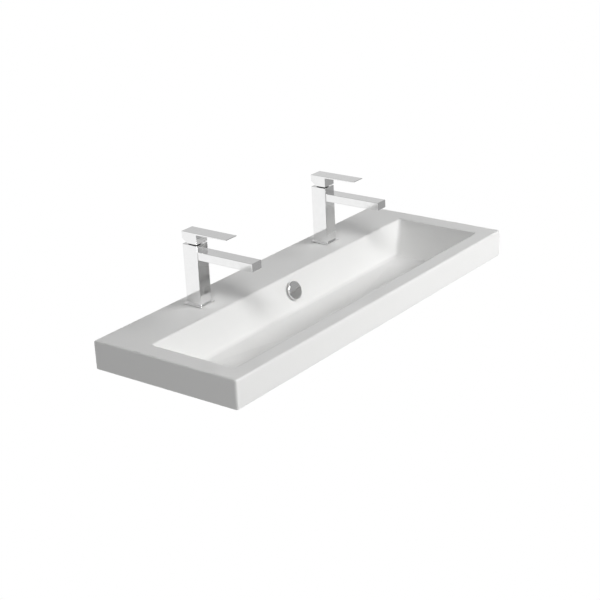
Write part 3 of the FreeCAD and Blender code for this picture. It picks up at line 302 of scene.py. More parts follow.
def sanitary_china(colours):
    """Vitreous china under a fired white glaze; bare bisque where the 'bisque' attribute says.

    The glaze is smooth and bright, with slow waves of 50 mm and a faint warm cloud of 120 mm. The bisque
    is dull, with sand of 1.5 mm, and the glaze's edge wanders over 15 mm.
    """
    material, tree = new_material("glazed_vitreous_china")
    mark = add_node(tree, "ShaderNodeAttribute", {"attribute_name": "bisque"}).outputs["Fac"]
    wander = add_node(tree, "ShaderNodeMapRange", _0=mottle(tree, 15), **MIDDLE, _3=-0.2, _4=0.2)
    edge = add_node(tree, "ShaderNodeMath", {"operation": "ADD"}, _0=mark, _1=wander.outputs["Result"])
    bare = add_node(tree, "ShaderNodeMapRange", SMOOTH, _0=edge.outputs["Value"], **MIDDLE)
    bare = bare.outputs["Result"]

    white, cream = tuple(colours.glaze), tuple(colours.bisque)
    warm = tuple((1 - WARM_SHARE) * a + WARM_SHARE * b for a, b in zip(white, cream))
    cloud = add_node(tree, "ShaderNodeMapRange", _0=mottle(tree, 120), **MIDDLE, _3=0.0, _4=0.35)
    glaze = add_node(tree, "ShaderNodeMix", TONES, _0=cloud.outputs["Result"], _6=white, _7=warm)
    sand = add_node(tree, "ShaderNodeMapRange", _0=mottle(tree, 1.5, 4.0), **MIDDLE).outputs["Result"]
    clay = add_node(tree, "ShaderNodeMix", TONES, _0=sand, _6=cream, _7=darker(cream, SAND_DARK_SHARE))
    both = add_node(tree, "ShaderNodeMix", TONES, _0=bare, _6=glaze.outputs[2], _7=clay.outputs[2])

    waves = mottle(tree, 50)
    gloss = add_node(tree, "ShaderNodeMapRange", _0=waves, **MIDDLE, _3=0.09, _4=0.15)
    rough = add_node(tree, "ShaderNodeMix", _0=bare, _2=gloss.outputs["Result"], _3=0.8)
    height = add_node(tree, "ShaderNodeMix", _0=bare, _2=waves, _3=sand)
    bump = add_node(tree, "ShaderNodeBump", Height=height.outputs[0], Distance=0.12 * MM)
    shader = add_node(tree, "ShaderNodeBsdfPrincipled", Base_Color=both.outputs[2], IOR=1.52,
                      Roughness=rough.outputs[0], Normal=bump.outputs["Normal"])
    add_node(tree, "ShaderNodeOutputMaterial", Surface=shader.outputs["BSDF"])
    return material


def grained(name, colour, dark_share, roughness, grain, depth, stretch=(1, 1, 1), metallic=0.0):
    """A finish whose tone, polish and height vary together over patches of one grain's size.

    The tone falls to a share of the colour, the roughness runs between two values, and the grain and the
    depth are in millimetres.
    """
    material, tree = new_material(name)
    patch = mottle(tree, grain, 3.0, stretch)
    tone = add_node(tree, "ShaderNodeMix", TONES, _0=patch, _6=colour, _7=darker(colour, dark_share))
    rough = add_node(tree, "ShaderNodeMapRange", _0=patch, **MIDDLE, _3=roughness[0], _4=roughness[1])
    bump = add_node(tree, "ShaderNodeBump", Height=patch, Distance=depth * MM)
    shader = add_node(tree, "ShaderNodeBsdfPrincipled", Base_Color=tone.outputs[2], Metallic=metallic,
                      Roughness=rough.outputs["Result"], Normal=bump.outputs["Normal"])
    add_node(tree, "ShaderNodeOutputMaterial", Surface=shader.outputs["BSDF"])
    return material


def metal(name, colour, roughness, grain, depth, stretch=(1, 1, 1)):
    """A metal whose polish varies a little."""
    return grained(name, colour, METAL_DARK_SHARE, roughness, grain, depth, stretch, metallic=1.0)


def moulded(name, colour, roughness, grain, depth):
    """A moulded rubber or plastic, or a lapped ceramic, with a faint grain."""
    return grained(name, colour, MOULDED_DARK_SHARE, roughness, grain, depth)


def two_tone_mark(name, centre, hot, cold):
    """A glossy moulded plug, red on one side of the tap's axis and blue on the other."""
    material, tree = new_material(name)
    place = add_node(tree, "ShaderNodeTexCoord").outputs["Object"]
    mapped = add_node(tree, "ShaderNodeMapping", Vector=place, Location=(-centre, 0, 0)).outputs["Vector"]
    x = add_node(tree, "ShaderNodeSeparateXYZ", Vector=mapped).outputs["X"]
    side = add_node(tree, "ShaderNodeMath", {"operation": "GREATER_THAN"}, _0=x, _1=0.0).outputs["Value"]
    tone = add_node(tree, "ShaderNodeMix", TONES, _0=side, _6=hot, _7=cold)
    shader = add_node(tree, "ShaderNodeBsdfPrincipled", Base_Color=tone.outputs[2], Roughness=0.25)
    add_node(tree, "ShaderNodeOutputMaterial", Surface=shader.outputs["BSDF"])
    return material


def glowing(name, colour, fade=None):
    """A glow for the studio's sheets, even or fading upwards between two heights to a level."""
    material, tree = new_material(name)
    level = 1.0
    if fade:
        low, high, least = fade
        place = add_node(tree, "ShaderNodeTexCoord").outputs["Object"]
        height = add_node(tree, "ShaderNodeSeparateXYZ", Vector=place).outputs["Z"]
        falling = add_node(tree, "ShaderNodeMapRange", _0=height, _1=low, _2=high, _3=1.0, _4=least)
        level = falling.outputs["Result"]
    glow = add_node(tree, "ShaderNodeEmission", Color=colour, Strength=level)
    add_node(tree, "ShaderNodeOutputMaterial", Surface=glow.outputs["Emission"])
    return material


MATERIALS = {}


def make_finishes(colours):
    """Every finish of the basin, made from the colours in the scene's properties."""
    MATERIALS.update({
        "china": sanitary_china(colours),
        # Decorative chromium over bright nickel: a near mirror with faint wiping marks.
        "chrome": metal("polished_chrome_plate", colours.chrome, (0.07, 0.11), 20, 0.002),
        # A smoky mirror on the ring under each lever, tinted dark to paint in the shade of the gap there:
        # painted shade.
        "nickel": metal("gap_shade_dark_plate", colours.nickel, (0.10, 0.15), 10, 0.002),
        # Bar brass off the lathe: turning marks, drawn coarser than the tool's feed so that they show.
        "brass": metal("turned_brass", colours.brass, (0.24, 0.38), 2, 0.01, (1, 1, 4)),
        # Zinc plate with a clear passivate: a soft grey spangle.
        "zinc": metal("zinc_plated_steel", colours.zinc, (0.30, 0.45), 3, 0.01),
        # Cold-drawn stainless: bright, with die marks made coarser than real ones so that they show.
        "stainless": metal("drawn_stainless_steel", colours.stainless, (0.18, 0.28), 1, 0.005),
        # Black EPDM: dull, with the mould's grain made coarser than a real one so that it shows.
        "rubber": moulded("moulded_epdm_rubber", colours.rubber, (0.55, 0.65), 1.2, 0.03),
        # Acetal off the mould: waxy and off-white.
        "acetal": moulded("moulded_acetal", colours.acetal, (0.35, 0.45), 4, 0.01),
        # Alumina lapped flat: hard, pale and satin.
        "alumina": moulded("lapped_alumina", colours.alumina, (0.15, 0.25), 2, 0.002),
    })
    for side in SIDES:
        # Glossy ABS off the mould: red and blue halves that meet at the tap's middle.
        mark = two_tone_mark(f"{side}_moulded_abs_mark", tap_axis(side)[0], colours.hot, colours.cold)
        MATERIALS[f"{side}_mark"] = mark


def finish_of(name):
    """A finish by name; the first call makes them all."""
    if not MATERIALS:
        make_finishes(bpy.context.scene.basin_finishes)
    return MATERIALS[name]


def dress(finish, *nodes):
    """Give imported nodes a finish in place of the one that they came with."""
    for node in nodes:
        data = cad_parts[node].data
        data.materials.clear()
        data.materials.append(finish_of(finish))


def grid_faces(rows, columns, closed_rows, closed_columns):
    """Quads between neighbouring points of a grid, wrapping round where it is closed."""
    row = np.arange(rows if closed_rows else rows - 1)[:, None]
    column = np.arange(columns if closed_columns else columns - 1)[None, :]
    here, below, beside = row * columns, (row + 1) % rows * columns, (column + 1) % columns
    corners = (here + column, below + column, below + beside, here + beside)
    return np.stack(np.broadcast_arrays(*corners), -1).reshape(-1, 4)


def grid_mesh(name, points, closed_rows=False, closed_columns=True, caps=()):
    """A mesh over a grid of points, with flat lids on its first or last row where caps asks for them."""
    rows, columns = points.shape[:2]
    faces = grid_faces(rows, columns, closed_rows, closed_columns).tolist()
    if "first" in caps:
        faces.append(list(range(columns)))
    if "last" in caps:
        last = (rows - 1) * columns
        faces.append(list(range(last + columns - 1, last - 1, -1)))
    mesh = bpy.data.meshes.new(name)
    mesh.from_pydata(points.reshape(-1, 3).tolist(), [], faces)
    mesh.polygons.foreach_set("use_smooth", np.ones(len(mesh.polygons), bool))
    mesh.update()
    return mesh


# Edges sharper than these, in degrees, are shaded as edges.
METAL_CREASE, NUT_CREASE, CHINA_CREASE = 35, 25, 40


def add_piece(mesh, finish, body, slot, *nodes, crease=METAL_CREASE, reach=()):
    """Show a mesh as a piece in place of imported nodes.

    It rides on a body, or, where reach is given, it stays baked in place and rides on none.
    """
    mesh.set_sharp_from_angle(angle=math.radians(crease))
    mesh.materials.clear()
    mesh.materials.append(finish_of(finish))
    piece = bpy.data.objects.new(mesh.name, mesh)
    bpy.context.scene.collection.objects.link(piece)
    if reach:
        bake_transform(piece)
    else:
        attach(piece, body)
    if nodes:
        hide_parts(*nodes)
    return piece


def whole_turn(steps):
    """Angles at even steps round a whole turn."""
    return np.linspace(0, 2 * np.pi, steps, endpoint=False)


def round_z(radius, angle, height):
    """Points at a radius and an angle round the z axis and at a height: (r cos a, r sin a, z)."""
    return np.stack(np.broadcast_arrays(radius * np.cos(angle), radius * np.sin(angle), height), -1)


def turn(profile, steps):
    """Carry a profile of radius and height round the z axis."""
    return round_z(profile[:, :1], whole_turn(steps), profile[:, 1:])


def eased(share):
    """A share that starts and ends gently: three of its squares less two of its cubes."""
    return share * share * (3 - 2 * share)


def bend(start, corner, finish, radius, steps=6):
    """The arc of one radius that rounds a corner between two straight stretches of a profile.

    Its centre lies on the corner's bisector, and its points turn evenly from one tangent point to the other.
    """
    a, b, c = (np.asarray(p, float) for p in (start, corner, finish))
    inwards, outwards = (a - b) / np.linalg.norm(a - b), (c - b) / np.linalg.norm(c - b)
    half = np.arccos(np.clip(inwards @ outwards, -1, 1)) / 2
    reach = radius / np.tan(half)
    middle = (inwards + outwards) / np.linalg.norm(inwards + outwards)
    centre = b + middle * radius / np.sin(half)
    first, last = b + inwards * reach - centre, b + outwards * reach - centre
    share = np.linspace(0, 1, steps + 1)[:, None]
    turn_by = np.pi - 2 * half
    arc = np.sin((1 - share) * turn_by) * first + np.sin(share * turn_by) * last
    return centre + arc / np.sin(turn_by)


def profile_of(points, roundings=()):
    """An open profile through points, with an arc at each corner that roundings gives a radius."""
    radii = dict(roundings)
    parts = []
    for i, point in enumerate(points):
        if radii.get(i):
            parts.append(bend(points[i - 1], point, points[i + 1], radii[i]))
        else:
            parts.append(np.array([point], float))
    return np.concatenate(parts)


def quarter(radius, first, last, steps):
    """Distances below a rounded edge's flat side: radius times one minus the cosine of an angle."""
    return radius * (1 - np.cos(np.radians(np.linspace(first, last, steps))))


def edge_rounding(distance, radius, slope):
    """How far a rounded edge stands off the sharp one at a distance from the flat side.

    The wall leans by its slope, and the arc touches the flat side and the wall.
    """
    lean = np.arctan(slope)
    tangent = radius * np.tan(np.pi / 4 - lean / 2)
    reach = radius * (1 - np.sin(lean))
    inside = np.clip(distance, 0, reach)
    off = tangent - np.sqrt(radius ** 2 - (radius - inside) ** 2) + inside * slope
    return np.where(distance < reach, off, 0.0)


# Columns on each corner, short side and long side of the china, and how far a side's draw to its middle.
CORNER_STEPS, SHORT_STEPS, LONG_STEPS = 12, 40, 132
CENTRE_PULL_SHARE = 0.7
# The overflow channel's hump sinks over a share of the shell's height, most of the way to the boss's foot.
HUMP_FOOT_SHARE, HUMP_SINK_SHARE = 0.25, 0.97
# The glaze thins to bare clay round the skirt's foot, and this share of it is gone at the arc's end.
FOOT_BARE_SHARE = 0.4


def outline_columns():
    """Columns round a rounded rectangle, from its front right corner counter-clockwise.

    Each column lies between a point of one corner's arc and a point of the next; on an arc the two are one.
    On the sides the columns draw together towards the middle by a cubic share.
    """
    parts = []
    for corner, steps in enumerate((SHORT_STEPS, LONG_STEPS, SHORT_STEPS, LONG_STEPS)):
        following = (corner + 1) % 4
        begin = np.radians(90 * corner - 90)
        arc = begin + np.radians(90) * np.linspace(0, 1, CORNER_STEPS + 1)
        parts.append(np.column_stack(np.broadcast_arrays(corner, arc, corner, arc, 0.0)))
        place = np.linspace(-1, 1, steps + 2)[1:-1]
        share = 0.5 + 0.5 * ((1 - CENTRE_PULL_SHARE) * place + CENTRE_PULL_SHARE * place ** 3)
        parts.append(np.column_stack(np.broadcast_arrays(corner, arc[-1], following, arc[-1], share)))
    return np.concatenate(parts)


COLUMNS = outline_columns()


def rectangle_rings(half, front, back, corner):
    """Rounded rectangles, one a row, on the shared columns: plan points of shape rows by columns by two."""
    half, front, back, corner = (np.asarray(v, float)[:, None] for v in (half, front, back, corner))
    sign = np.array([1.0, 1.0, -1.0, -1.0])
    behind = np.array([False, True, True, False])

    def on_arc(which, angle):
        which = which.astype(int)
        x = sign[which] * (half - corner) + corner * np.cos(angle)
        y = np.where(behind[which], back - corner, front + corner) + corner * np.sin(angle)
        return np.stack((x, y), -1)

    share = COLUMNS[:, 4][:, None]
    return (1 - share) * on_arc(COLUMNS[:, 0], COLUMNS[:, 1]) + share * on_arc(COLUMNS[:, 2], COLUMNS[:, 3])


def stretch(outline, height, circle=0.0, roundness=0.0, bare=0.0):
    """Rows of the china's section: an outline, a height, and how far a circle takes over at the waste."""
    return np.column_stack(np.broadcast_arrays(*outline, height, circle, roundness, bare))


class ChinaProfile:
    """The stretches of the china's section, from the waste hole out over the rim and back underneath."""

    def __init__(self, sizes):
        self.s = sizes
        drop = sizes.bowl_drop
        self.slopes = (sizes.end_run / drop, sizes.front_run / drop, sizes.back_run / drop)

    def slab(self, inset, corner=None):
        """The slab's outline moved inwards."""
        s = self.s
        inset = np.asarray(inset, float)
        corner = np.maximum(s.corner - inset, s.foot_edge / 2) if corner is None else corner
        return s.width / 2 - inset, inset - s.depth, -inset, corner

    def bowl(self, depth, outwards=(0.0, 0.0, 0.0), wall=0.0):
        """The bowl's outline at a depth, moved outwards by distances at the ends, the front and the back."""
        s = self.s
        share = np.asarray(depth, float) / s.bowl_drop
        end, front, back = (wall + np.asarray(o) for o in outwards)
        corner = s.rim_corner + (s.floor_corner - s.rim_corner) * share + (end + front + back) / 3
        return (s.width / 2 - s.side_rim - s.end_run * share + end,
                -s.depth + s.front_rim + s.front_run * share - front,
                -s.deck_depth - s.back_run * share + back,
                corner)

    def rounded(self, distance, radius, sign):
        """The three sides' roundings at a distance from a flat, inwards or outwards."""
        return tuple(sign * edge_rounding(distance, radius, slope) for slope in self.slopes)

    def between(self, first, last, shares):
        """Outlines part way from one to another."""
        return tuple((1 - shares) * a + shares * b for a, b in zip(first, last))

    def inside(self):
        """Waste hole, flange seat, falling floor, walls and the bowl's upper edge."""
        s = self.s
        floor = s.rim - s.bowl_drop
        low = floor - s.floor_fall
        flat = self.bowl(s.bowl_drop, self.rounded(0.0, s.floor_round, -1))
        lip = np.radians(np.linspace(0, 90, 5))
        rise = quarter(s.floor_round, 0, 80, 12)
        shares = np.linspace(0, 1, 16)[1:-1]
        edge = quarter(s.bowl_edge, 80, 0, 10)
        walls = np.linspace(s.bowl_drop - rise[-1], edge[0], 12)[1:-1]
        seat = s.seat_radius + s.seat_edge
        return [
            stretch(flat, np.linspace(s.boss_foot + s.foot_edge, low - s.seat_depth, 4), s.waste_hole, 1),
            stretch(flat, low - s.seat_depth, np.array([s.waste_hole + s.seat_edge, s.seat_radius]), 1),
            stretch(flat, low - s.seat_edge * (1 - np.sin(lip)), seat - s.seat_edge * np.cos(lip), 1),
            stretch(flat, low + s.floor_fall * eased(shares), seat, 1 - shares),
            stretch(self.bowl(s.bowl_drop - rise, self.rounded(rise, s.floor_round, -1)), floor + rise),
            stretch(self.bowl(walls), s.rim - walls),
            stretch(self.bowl(edge, self.rounded(edge, s.bowl_edge, 1)), s.rim - edge),
        ]

    def outside(self):
        """Deck, outer edge, faces and foot of the slab."""
        s = self.s
        first = self.bowl(0.0, self.rounded(0.0, s.bowl_edge, 1))
        shares = np.linspace(0, 1, 8)[1:-1]
        turn_by = np.radians(np.linspace(0, 90, 9))
        foot = s.rim - s.height
        small = np.radians(np.linspace(0, 90, 5))
        sides = np.linspace(s.rim - s.edge, foot + s.foot_edge, 6)[1:-1]
        inner = self.slab(s.skirt - s.foot_edge, s.skirt_corner)
        return [
            stretch(self.between(first, self.slab(s.edge), shares), s.rim),
            stretch(self.slab(s.edge * (1 - np.sin(turn_by))), s.rim - s.edge * (1 - np.cos(turn_by))),
            stretch(self.slab(0.0), sides),
            stretch(self.slab(s.foot_edge * (1 - np.cos(small))), foot + s.foot_edge * (1 - np.sin(small)),
                    bare=FOOT_BARE_SHARE * (1 - np.cos(small))),
            stretch(self.between(self.slab(s.foot_edge), inner, np.array([0.5, 1.0])), foot, bare=1.0),
        ]

    def underneath(self):
        """Skirt's inner face, deck's underside, the bowl's shell and the boss."""
        s = self.s
        foot, under = s.rim - s.height, s.rim - s.deck
        shell_foot = s.bowl_drop + s.floor_fall + s.bowl_wall
        turn_by = np.radians(np.linspace(0, 90, 7))
        small = np.radians(np.linspace(0, 90, 4))
        cast = s.cast_round
        drop = quarter(cast, 0, 80, 7)
        rise = quarter(s.shell_round, 80, 0, 12)
        walls = np.linspace(s.deck + drop[-1], shell_foot - rise[0], 8)[1:-1]
        ceiling = self.slab(s.skirt + cast, s.skirt_corner)
        top = self.bowl(s.deck, self.rounded(0.0, cast, 1), s.bowl_wall)
        flat = self.bowl(shell_foot, self.rounded(0.0, s.shell_round, -1), s.bowl_wall)
        shares = np.linspace(0, 1, 14)[1:-1]
        boss, neck = s.boss_radius, cast / 2
        low = s.rim - shell_foot
        edge = s.foot_edge
        return [
            stretch(self.slab(s.skirt - edge * (1 - np.sin(small)), s.skirt_corner),
                    foot + edge * (1 - np.cos(small))),
            stretch(self.slab(s.skirt, s.skirt_corner), np.linspace(foot + edge, under - cast, 5)[1:-1]),
            stretch(self.slab(s.skirt + cast * (1 - np.cos(turn_by)), s.skirt_corner),
                    under - cast * (1 - np.sin(turn_by))),
            stretch(self.between(ceiling, top, np.linspace(0, 1, 6)[1:-1]), under),
            stretch(self.bowl(s.deck + drop, self.rounded(drop, cast, 1), s.bowl_wall), under - drop),
            stretch(self.bowl(walls, wall=s.bowl_wall), s.rim - walls),
            stretch(self.bowl(shell_foot - rise, self.rounded(rise, s.shell_round, -1), s.bowl_wall),
                    low + rise),
            stretch(flat, low, boss + neck, shares),
            stretch(flat, low - neck * (1 - np.cos(turn_by)), boss + neck * (1 - np.sin(turn_by)), 1),
            stretch(flat, np.linspace(low - neck, s.boss_foot + edge, 4)[1:-1], boss, 1),
            stretch(flat, s.boss_foot + edge * (1 - np.sin(small)), boss - edge * (1 - np.cos(small)), 1),
            stretch(flat, s.boss_foot, np.array([s.waste_hole + edge]), 1),
        ]


def china_surface(sizes):
    """The china as one closed grid of section rows by outline columns, and its bare share at each point.

    A row is a rounded rectangle; near the waste it passes into a circle on the same columns. Behind the
    bowl, within the overflow channel's width, the shell is carried outwards to the channel's hump.
    """
    profile = ChinaProfile(sizes)
    upper = np.concatenate(profile.inside() + profile.outside())
    under = np.concatenate(profile.underneath())
    under[:, 7] = 1.0
    rows = np.concatenate((upper, under))
    plan = rectangle_rings(*rows[:, :4].T)
    floor = rectangle_rings(*(np.array([v]) for v in profile.bowl(sizes.bowl_drop)))[0]
    ray = floor - WASTE_AXIS
    ray = ray / np.linalg.norm(ray, axis=1, keepdims=True)
    circle = WASTE_AXIS + rows[:, 5][:, None, None] * ray
    roundness = rows[:, 6][:, None, None]
    plan = (1 - roundness) * plan + roundness * circle
    height = np.broadcast_to(rows[:, 4:5], plan.shape[:2])
    points = np.concatenate((plan, height[..., None]), -1)
    first = len(upper)
    points[first:] = raise_channel(points[first:], sizes)
    bare = np.broadcast_to(rows[:, 7:8], plan.shape[:2]).copy()
    bare[(points[..., 1] > -sizes.foot_edge / 4) & (points[..., 2] < sizes.rim - sizes.edge)] = 1.0
    return points, bare


def raise_channel(points, sizes):
    """Carry the shell's points behind the waste out to the overflow channel's hump.

    The move is the channel's depth away from the wall and down to the boss's foot, times a smooth share
    that falls from one to nothing across the hump's flanks.
    """
    moved = points.copy()
    x, y, z = points[..., 0], points[..., 1], points[..., 2]
    flank = np.clip((sizes.channel_half - np.abs(x)) / sizes.channel_side + 0.5, 0, 1)
    across = eased(flank)
    shell_top = sizes.rim - sizes.deck
    shell_foot = sizes.rim - sizes.bowl_drop - sizes.floor_fall - sizes.bowl_wall
    back = y - WASTE_AXIS[1]
    behind = np.clip(back / sizes.boss_radius, 0, 1) * (y < -sizes.deck_depth + 2 * sizes.bowl_wall)
    below = np.clip((shell_top - z) / sizes.cast_round, 0, 1)
    depth = np.clip((shell_top - z) / (shell_top - shell_foot), 0, 1)
    wall = across * below * (behind >= 1) * np.clip(back / sizes.channel_out - 2, 0, 1)
    moved[..., 1] = y + sizes.channel_out * wall
    sink = across * behind * np.clip((depth - 1) / HUMP_FOOT_SHARE + 1, 0, 1)
    moved[..., 2] = z + HUMP_SINK_SHARE * sink * (sizes.boss_foot - z)
    return moved


def carried(points, place, along=(0, 0, 1)):
    """A grid built round the z axis, moved to a place with that axis along a line."""
    spin = np.array(Vector(along).to_track_quat("Z", "Y").to_matrix())
    return points @ spin.T + np.asarray(place)


def rod(centre, along, radius, first, last):
    """A plain round rod about a line, used to cut holes: a circle carried along the line."""
    return carried(turn(np.array([[radius, last], [radius, first]]), ROUND_STEPS), centre, along)


def bar(low, high):
    """A plain box between two corners, used to cut slots: a rectangle carried down."""
    (x0, y0, z0), (x1, y1, z1) = low, high
    return np.array([[(x0, y0, z), (x1, y0, z), (x1, y1, z), (x0, y1, z)] for z in (z1, z0)])


def cut(mesh, cutters):
    """The mesh with closed cutters taken out of it."""
    scene = bpy.context.scene
    body = bpy.data.objects.new("to_cut", mesh)
    scene.collection.objects.link(body)
    tools = []
    for number, points in enumerate(cutters):
        name = f"cutter_{number}"
        tool = bpy.data.objects.new(name, grid_mesh(name, points, caps=LIDS))
        scene.collection.objects.link(tool)
        step = body.modifiers.new(name, "BOOLEAN")
        step.object = tool
        step.operation = "DIFFERENCE"
        step.solver = "EXACT"
        tools.append(tool)
    depsgraph = bpy.context.evaluated_depsgraph_get()
    result = bpy.data.meshes.new_from_object(body.evaluated_get(depsgraph))
    result.name = mesh.name
    for thing in [body, *tools]:
        data = thing.data
        bpy.data.objects.remove(thing)
        bpy.data.meshes.remove(data)
    return result


def domed_face(radius, edge, top, crown):
    """A turned face from its pole to its edge: the height falls by the crown times radius squared."""
    r = np.linspace(POLE, radius - 1.1 * edge, 14)
    return [*zip(r, top - crown * (r / radius) ** 2), (radius, top - crown)]


# A thread's triangle wave is made this much steeper and lower, and its crests and roots are cut flat.
THREAD_STEEPNESS, THREAD_FLAT = 1.4, 0.2


def screwed(points, low, high, depth, pitch):
    """Cut a screw thread into a turned grid between two heights.

    The radius falls by the depth times a flattened triangle wave of height over pitch less angle over a
    turn, and the wave runs out within a pitch of each end.
    """
    x, y, z = points[..., 0], points[..., 1], points[..., 2]
    turns = z / pitch - np.arctan2(y, x) / (2 * np.pi)
    wave = np.clip(THREAD_STEEPNESS * np.abs(2 * (turns % 1.0) - 1) - THREAD_FLAT, 0, 1)
    runout = np.clip(np.minimum(z - low, high - z) / pitch, 0, 1)
    share = 1 - depth / np.hypot(x, y) * wave * runout
    return points * np.stack((share, share, np.ones_like(share)), -1)


def threaded_rows(high, low, pitch):
    """Heights close enough to draw a thread, from the top down."""
    return np.linspace(high, low, int((high - low) / pitch * THREAD_ROWS))


# A nut's washer face, as a share of its width across its flats.
NUT_FACE_SHARE = 0.96


def nut_grid(across, bore, height, bevel, steps=TUBE_STEPS):
    """A chamfered hexagon nut standing on its foot, as a closed grid.

    The outside's radius is the lesser of the hexagon's and of a cone's that opens at thirty degrees from a
    washer face at each end, which is a share of the nut's width across its flats.
    """
    angle = whole_turn(steps)
    flats = across / 2 / np.cos(angle % np.radians(60) - np.radians(30))
    level = np.linspace(height, 0, 17)
    cone = NUT_FACE_SHARE * across / 2 + np.minimum(level, height - level) / np.tan(np.radians(30))
    outside = np.minimum(flats, cone[:, None])
    wide, narrow = np.full((1, steps), bore + bevel), np.full((1, steps), bore)
    radius = np.concatenate((narrow, wide, outside, wide, narrow))
    rows = np.concatenate(([height - bevel, height], level, [0.0, bevel]))
    return round_z(radius, angle, rows[:, None])


def spider_grid(reach, bar_width, hub, bore, height, steps=144):
    """A four-armed spider round a bored hub, as a closed grid.

    The outside's radius is the greater of the hub's and of the arms', where the distance across an arm is
    under half its width.
    """
    angle = whole_turn(steps)
    beside = np.abs((angle + np.pi / 4) % (np.pi / 2) - np.pi / 4)
    half = bar_width / 2
    arms = np.minimum(reach / np.cos(beside), half / np.maximum(np.sin(beside), half / reach))
    outside = np.maximum(hub, arms)
    inside = np.full(steps, bore)
    radius = np.stack((inside, outside, outside, inside))
    return round_z(radius, angle, np.array([[height], [height], [0.0], [0.0]]))


def coil_grid(radius, wire, low, high, turns, steps=48, around=12):
    """A round wire along a helix: its circle stands on the path's outward normal and one square to it."""
    t = np.linspace(0, 2 * np.pi * turns, turns * steps + 1)[:, None]
    rise = (high - low - 2 * wire) / t[-1, 0]
    outward = np.concatenate((np.cos(t), np.sin(t), np.zeros_like(t)), 1)
    path = radius * outward + np.concatenate((0 * t, 0 * t, low + wire + rise * t), 1)
    along = np.concatenate((-radius * np.sin(t), radius * np.cos(t), np.full_like(t, rise)), 1)
    upward = np.cross(outward, along / np.linalg.norm(along, axis=1, keepdims=True))
    a = whole_turn(around)[None, :, None]
    return path[:, None] + wire * (np.cos(a) * outward[:, None] + np.sin(a) * upward[:, None])


# The aerator's holes keep within a share of its radius; their waves are raised and made steeper.
MESH_RIM_SHARE = 0.93
HOLE_RISE, HOLE_STEEPNESS = 0.6, 1.2


def honeycomb(x, y, spacing):
    """Zero between holes and one in them: three cosine waves at sixty degrees, sharpened."""
    k = 4 * np.pi / (np.sqrt(3) * spacing)
    waves = sum(np.cos(k * (x * np.cos(t) + y * np.sin(t))) for t in np.radians((0, 60, 120)))
    return np.clip(HOLE_STEEPNESS * (waves + HOLE_RISE), 0, 1)


def overflow_place(sizes):
    """Where the overflow's axis meets the bowl's back wall, and the way into the wall."""
    slope = sizes.back_run / sizes.bowl_drop
    mouth = (0.0, -sizes.deck_depth - slope * sizes.overflow_drop, sizes.rim - sizes.overflow_drop)
    return mouth, Vector((0.0, 1.0, -slope)).normalized()


class BASIN_OT_china(bpy.types.Operator):
    """Build the glazed china body"""

    bl_idname = "basin.china"
    bl_label = "China"

    def execute(self, context):
        s = context.scene.basin_china
        points, bare = china_surface(s)
        mesh = grid_mesh("china_body", points, closed_rows=True)
        mark = mesh.attributes.new("bisque", "FLOAT", "POINT")
        mark.data.foreach_set("value", bare.astype(np.float32).ravel())
        mouth, into = overflow_place(s)
        cutters = [rod(mouth, into, s.overflow_hole, -s.bowl_wall, s.bowl_wall + s.channel_out / 2)]
        for side in SIDES:
            x, y = tap_axis(side)
            cutters.append(rod((x, y, s.rim), (0, 0, 1), s.tap_hole, -2 * s.deck, s.deck))
            fixing = (math.copysign(s.fixing_half, x), 0.0, 0.0)
            cutters.append(rod(fixing, (0, 1, 0), s.fixing_hole, -2 * s.skirt, s.skirt))
        mesh = cut(mesh, cutters)
        self.bare_holes(mesh, s)
        add_piece(mesh, "china", FIXED, "glazed_ceramic", "basin", crease=CHINA_CREASE)
        return {"FINISHED"}

    def bare_holes(self, mesh, s):
        """Mark the insides of the tap holes and of the wall-fixing holes as unglazed."""
        places = np.empty(3 * len(mesh.vertices), np.float32)
        mesh.vertices.foreach_get("co", places)
        x, y, z = places.reshape(-1, 3).T
        mark = mesh.attributes["bisque"].data
        bare = np.empty(len(mark), np.float32)
        mark.foreach_get("value", bare)
        fixing = np.hypot(np.abs(x) - s.fixing_half, z) < s.fixing_hole + s.foot_edge / 4
        right, back = tap_axis("right")
        tap = np.hypot(np.abs(x) - right, y - back) < s.tap_hole + s.foot_edge / 4
        bare[fixing & (y > -2 * s.skirt) | tap & (z < s.rim - s.foot_edge)] = 1.0
        mark.foreach_set("value", bare)


class BASIN_OT_overflow(bpy.types.Operator):
    """Build the overflow's cap and dress its sleeve and seal"""

    bl_idname = "basin.overflow"
    bl_label = "Overflow"

    def execute(self, context):
        m = context.scene.basin_metal
        radius, inside = m.cap_radius, m.cap_radius - m.cap_wall
        rim, under = m.cap_proud - m.cap_skirt, m.cap_proud - m.cap_wall
        face = domed_face(radius, m.cap_edge, m.cap_proud, m.crown)
        edge = len(face) - 1
        profile = profile_of([
            *face, (radius, rim), (inside, rim), (inside, under), (m.cap_hub, under),
            (m.cap_hub, m.cap_hub_foot), (m.cap_stem, m.cap_hub_foot),
            (m.cap_stem, m.cap_stem_foot), (POLE, m.cap_stem_foot),
        ], {edge: m.cap_edge, edge + 1: m.cap_wall / 4, edge + 2: m.cap_wall / 4, edge + 3: m.cap_wall})
        mouth, into = overflow_place(context.scene.basin_china)
        points = carried(turn(profile, FINE_STEPS), mouth, -into)
        cap = grid_mesh("overflow_cap_turned", points, caps=LIDS)
        add_piece(cap, "chrome", FIXED, "chrome", "overflow_cap")
        dress("brass", "overflow_sleeve")
        dress("rubber", "overflow_seal")
        return {"FINISHED"}


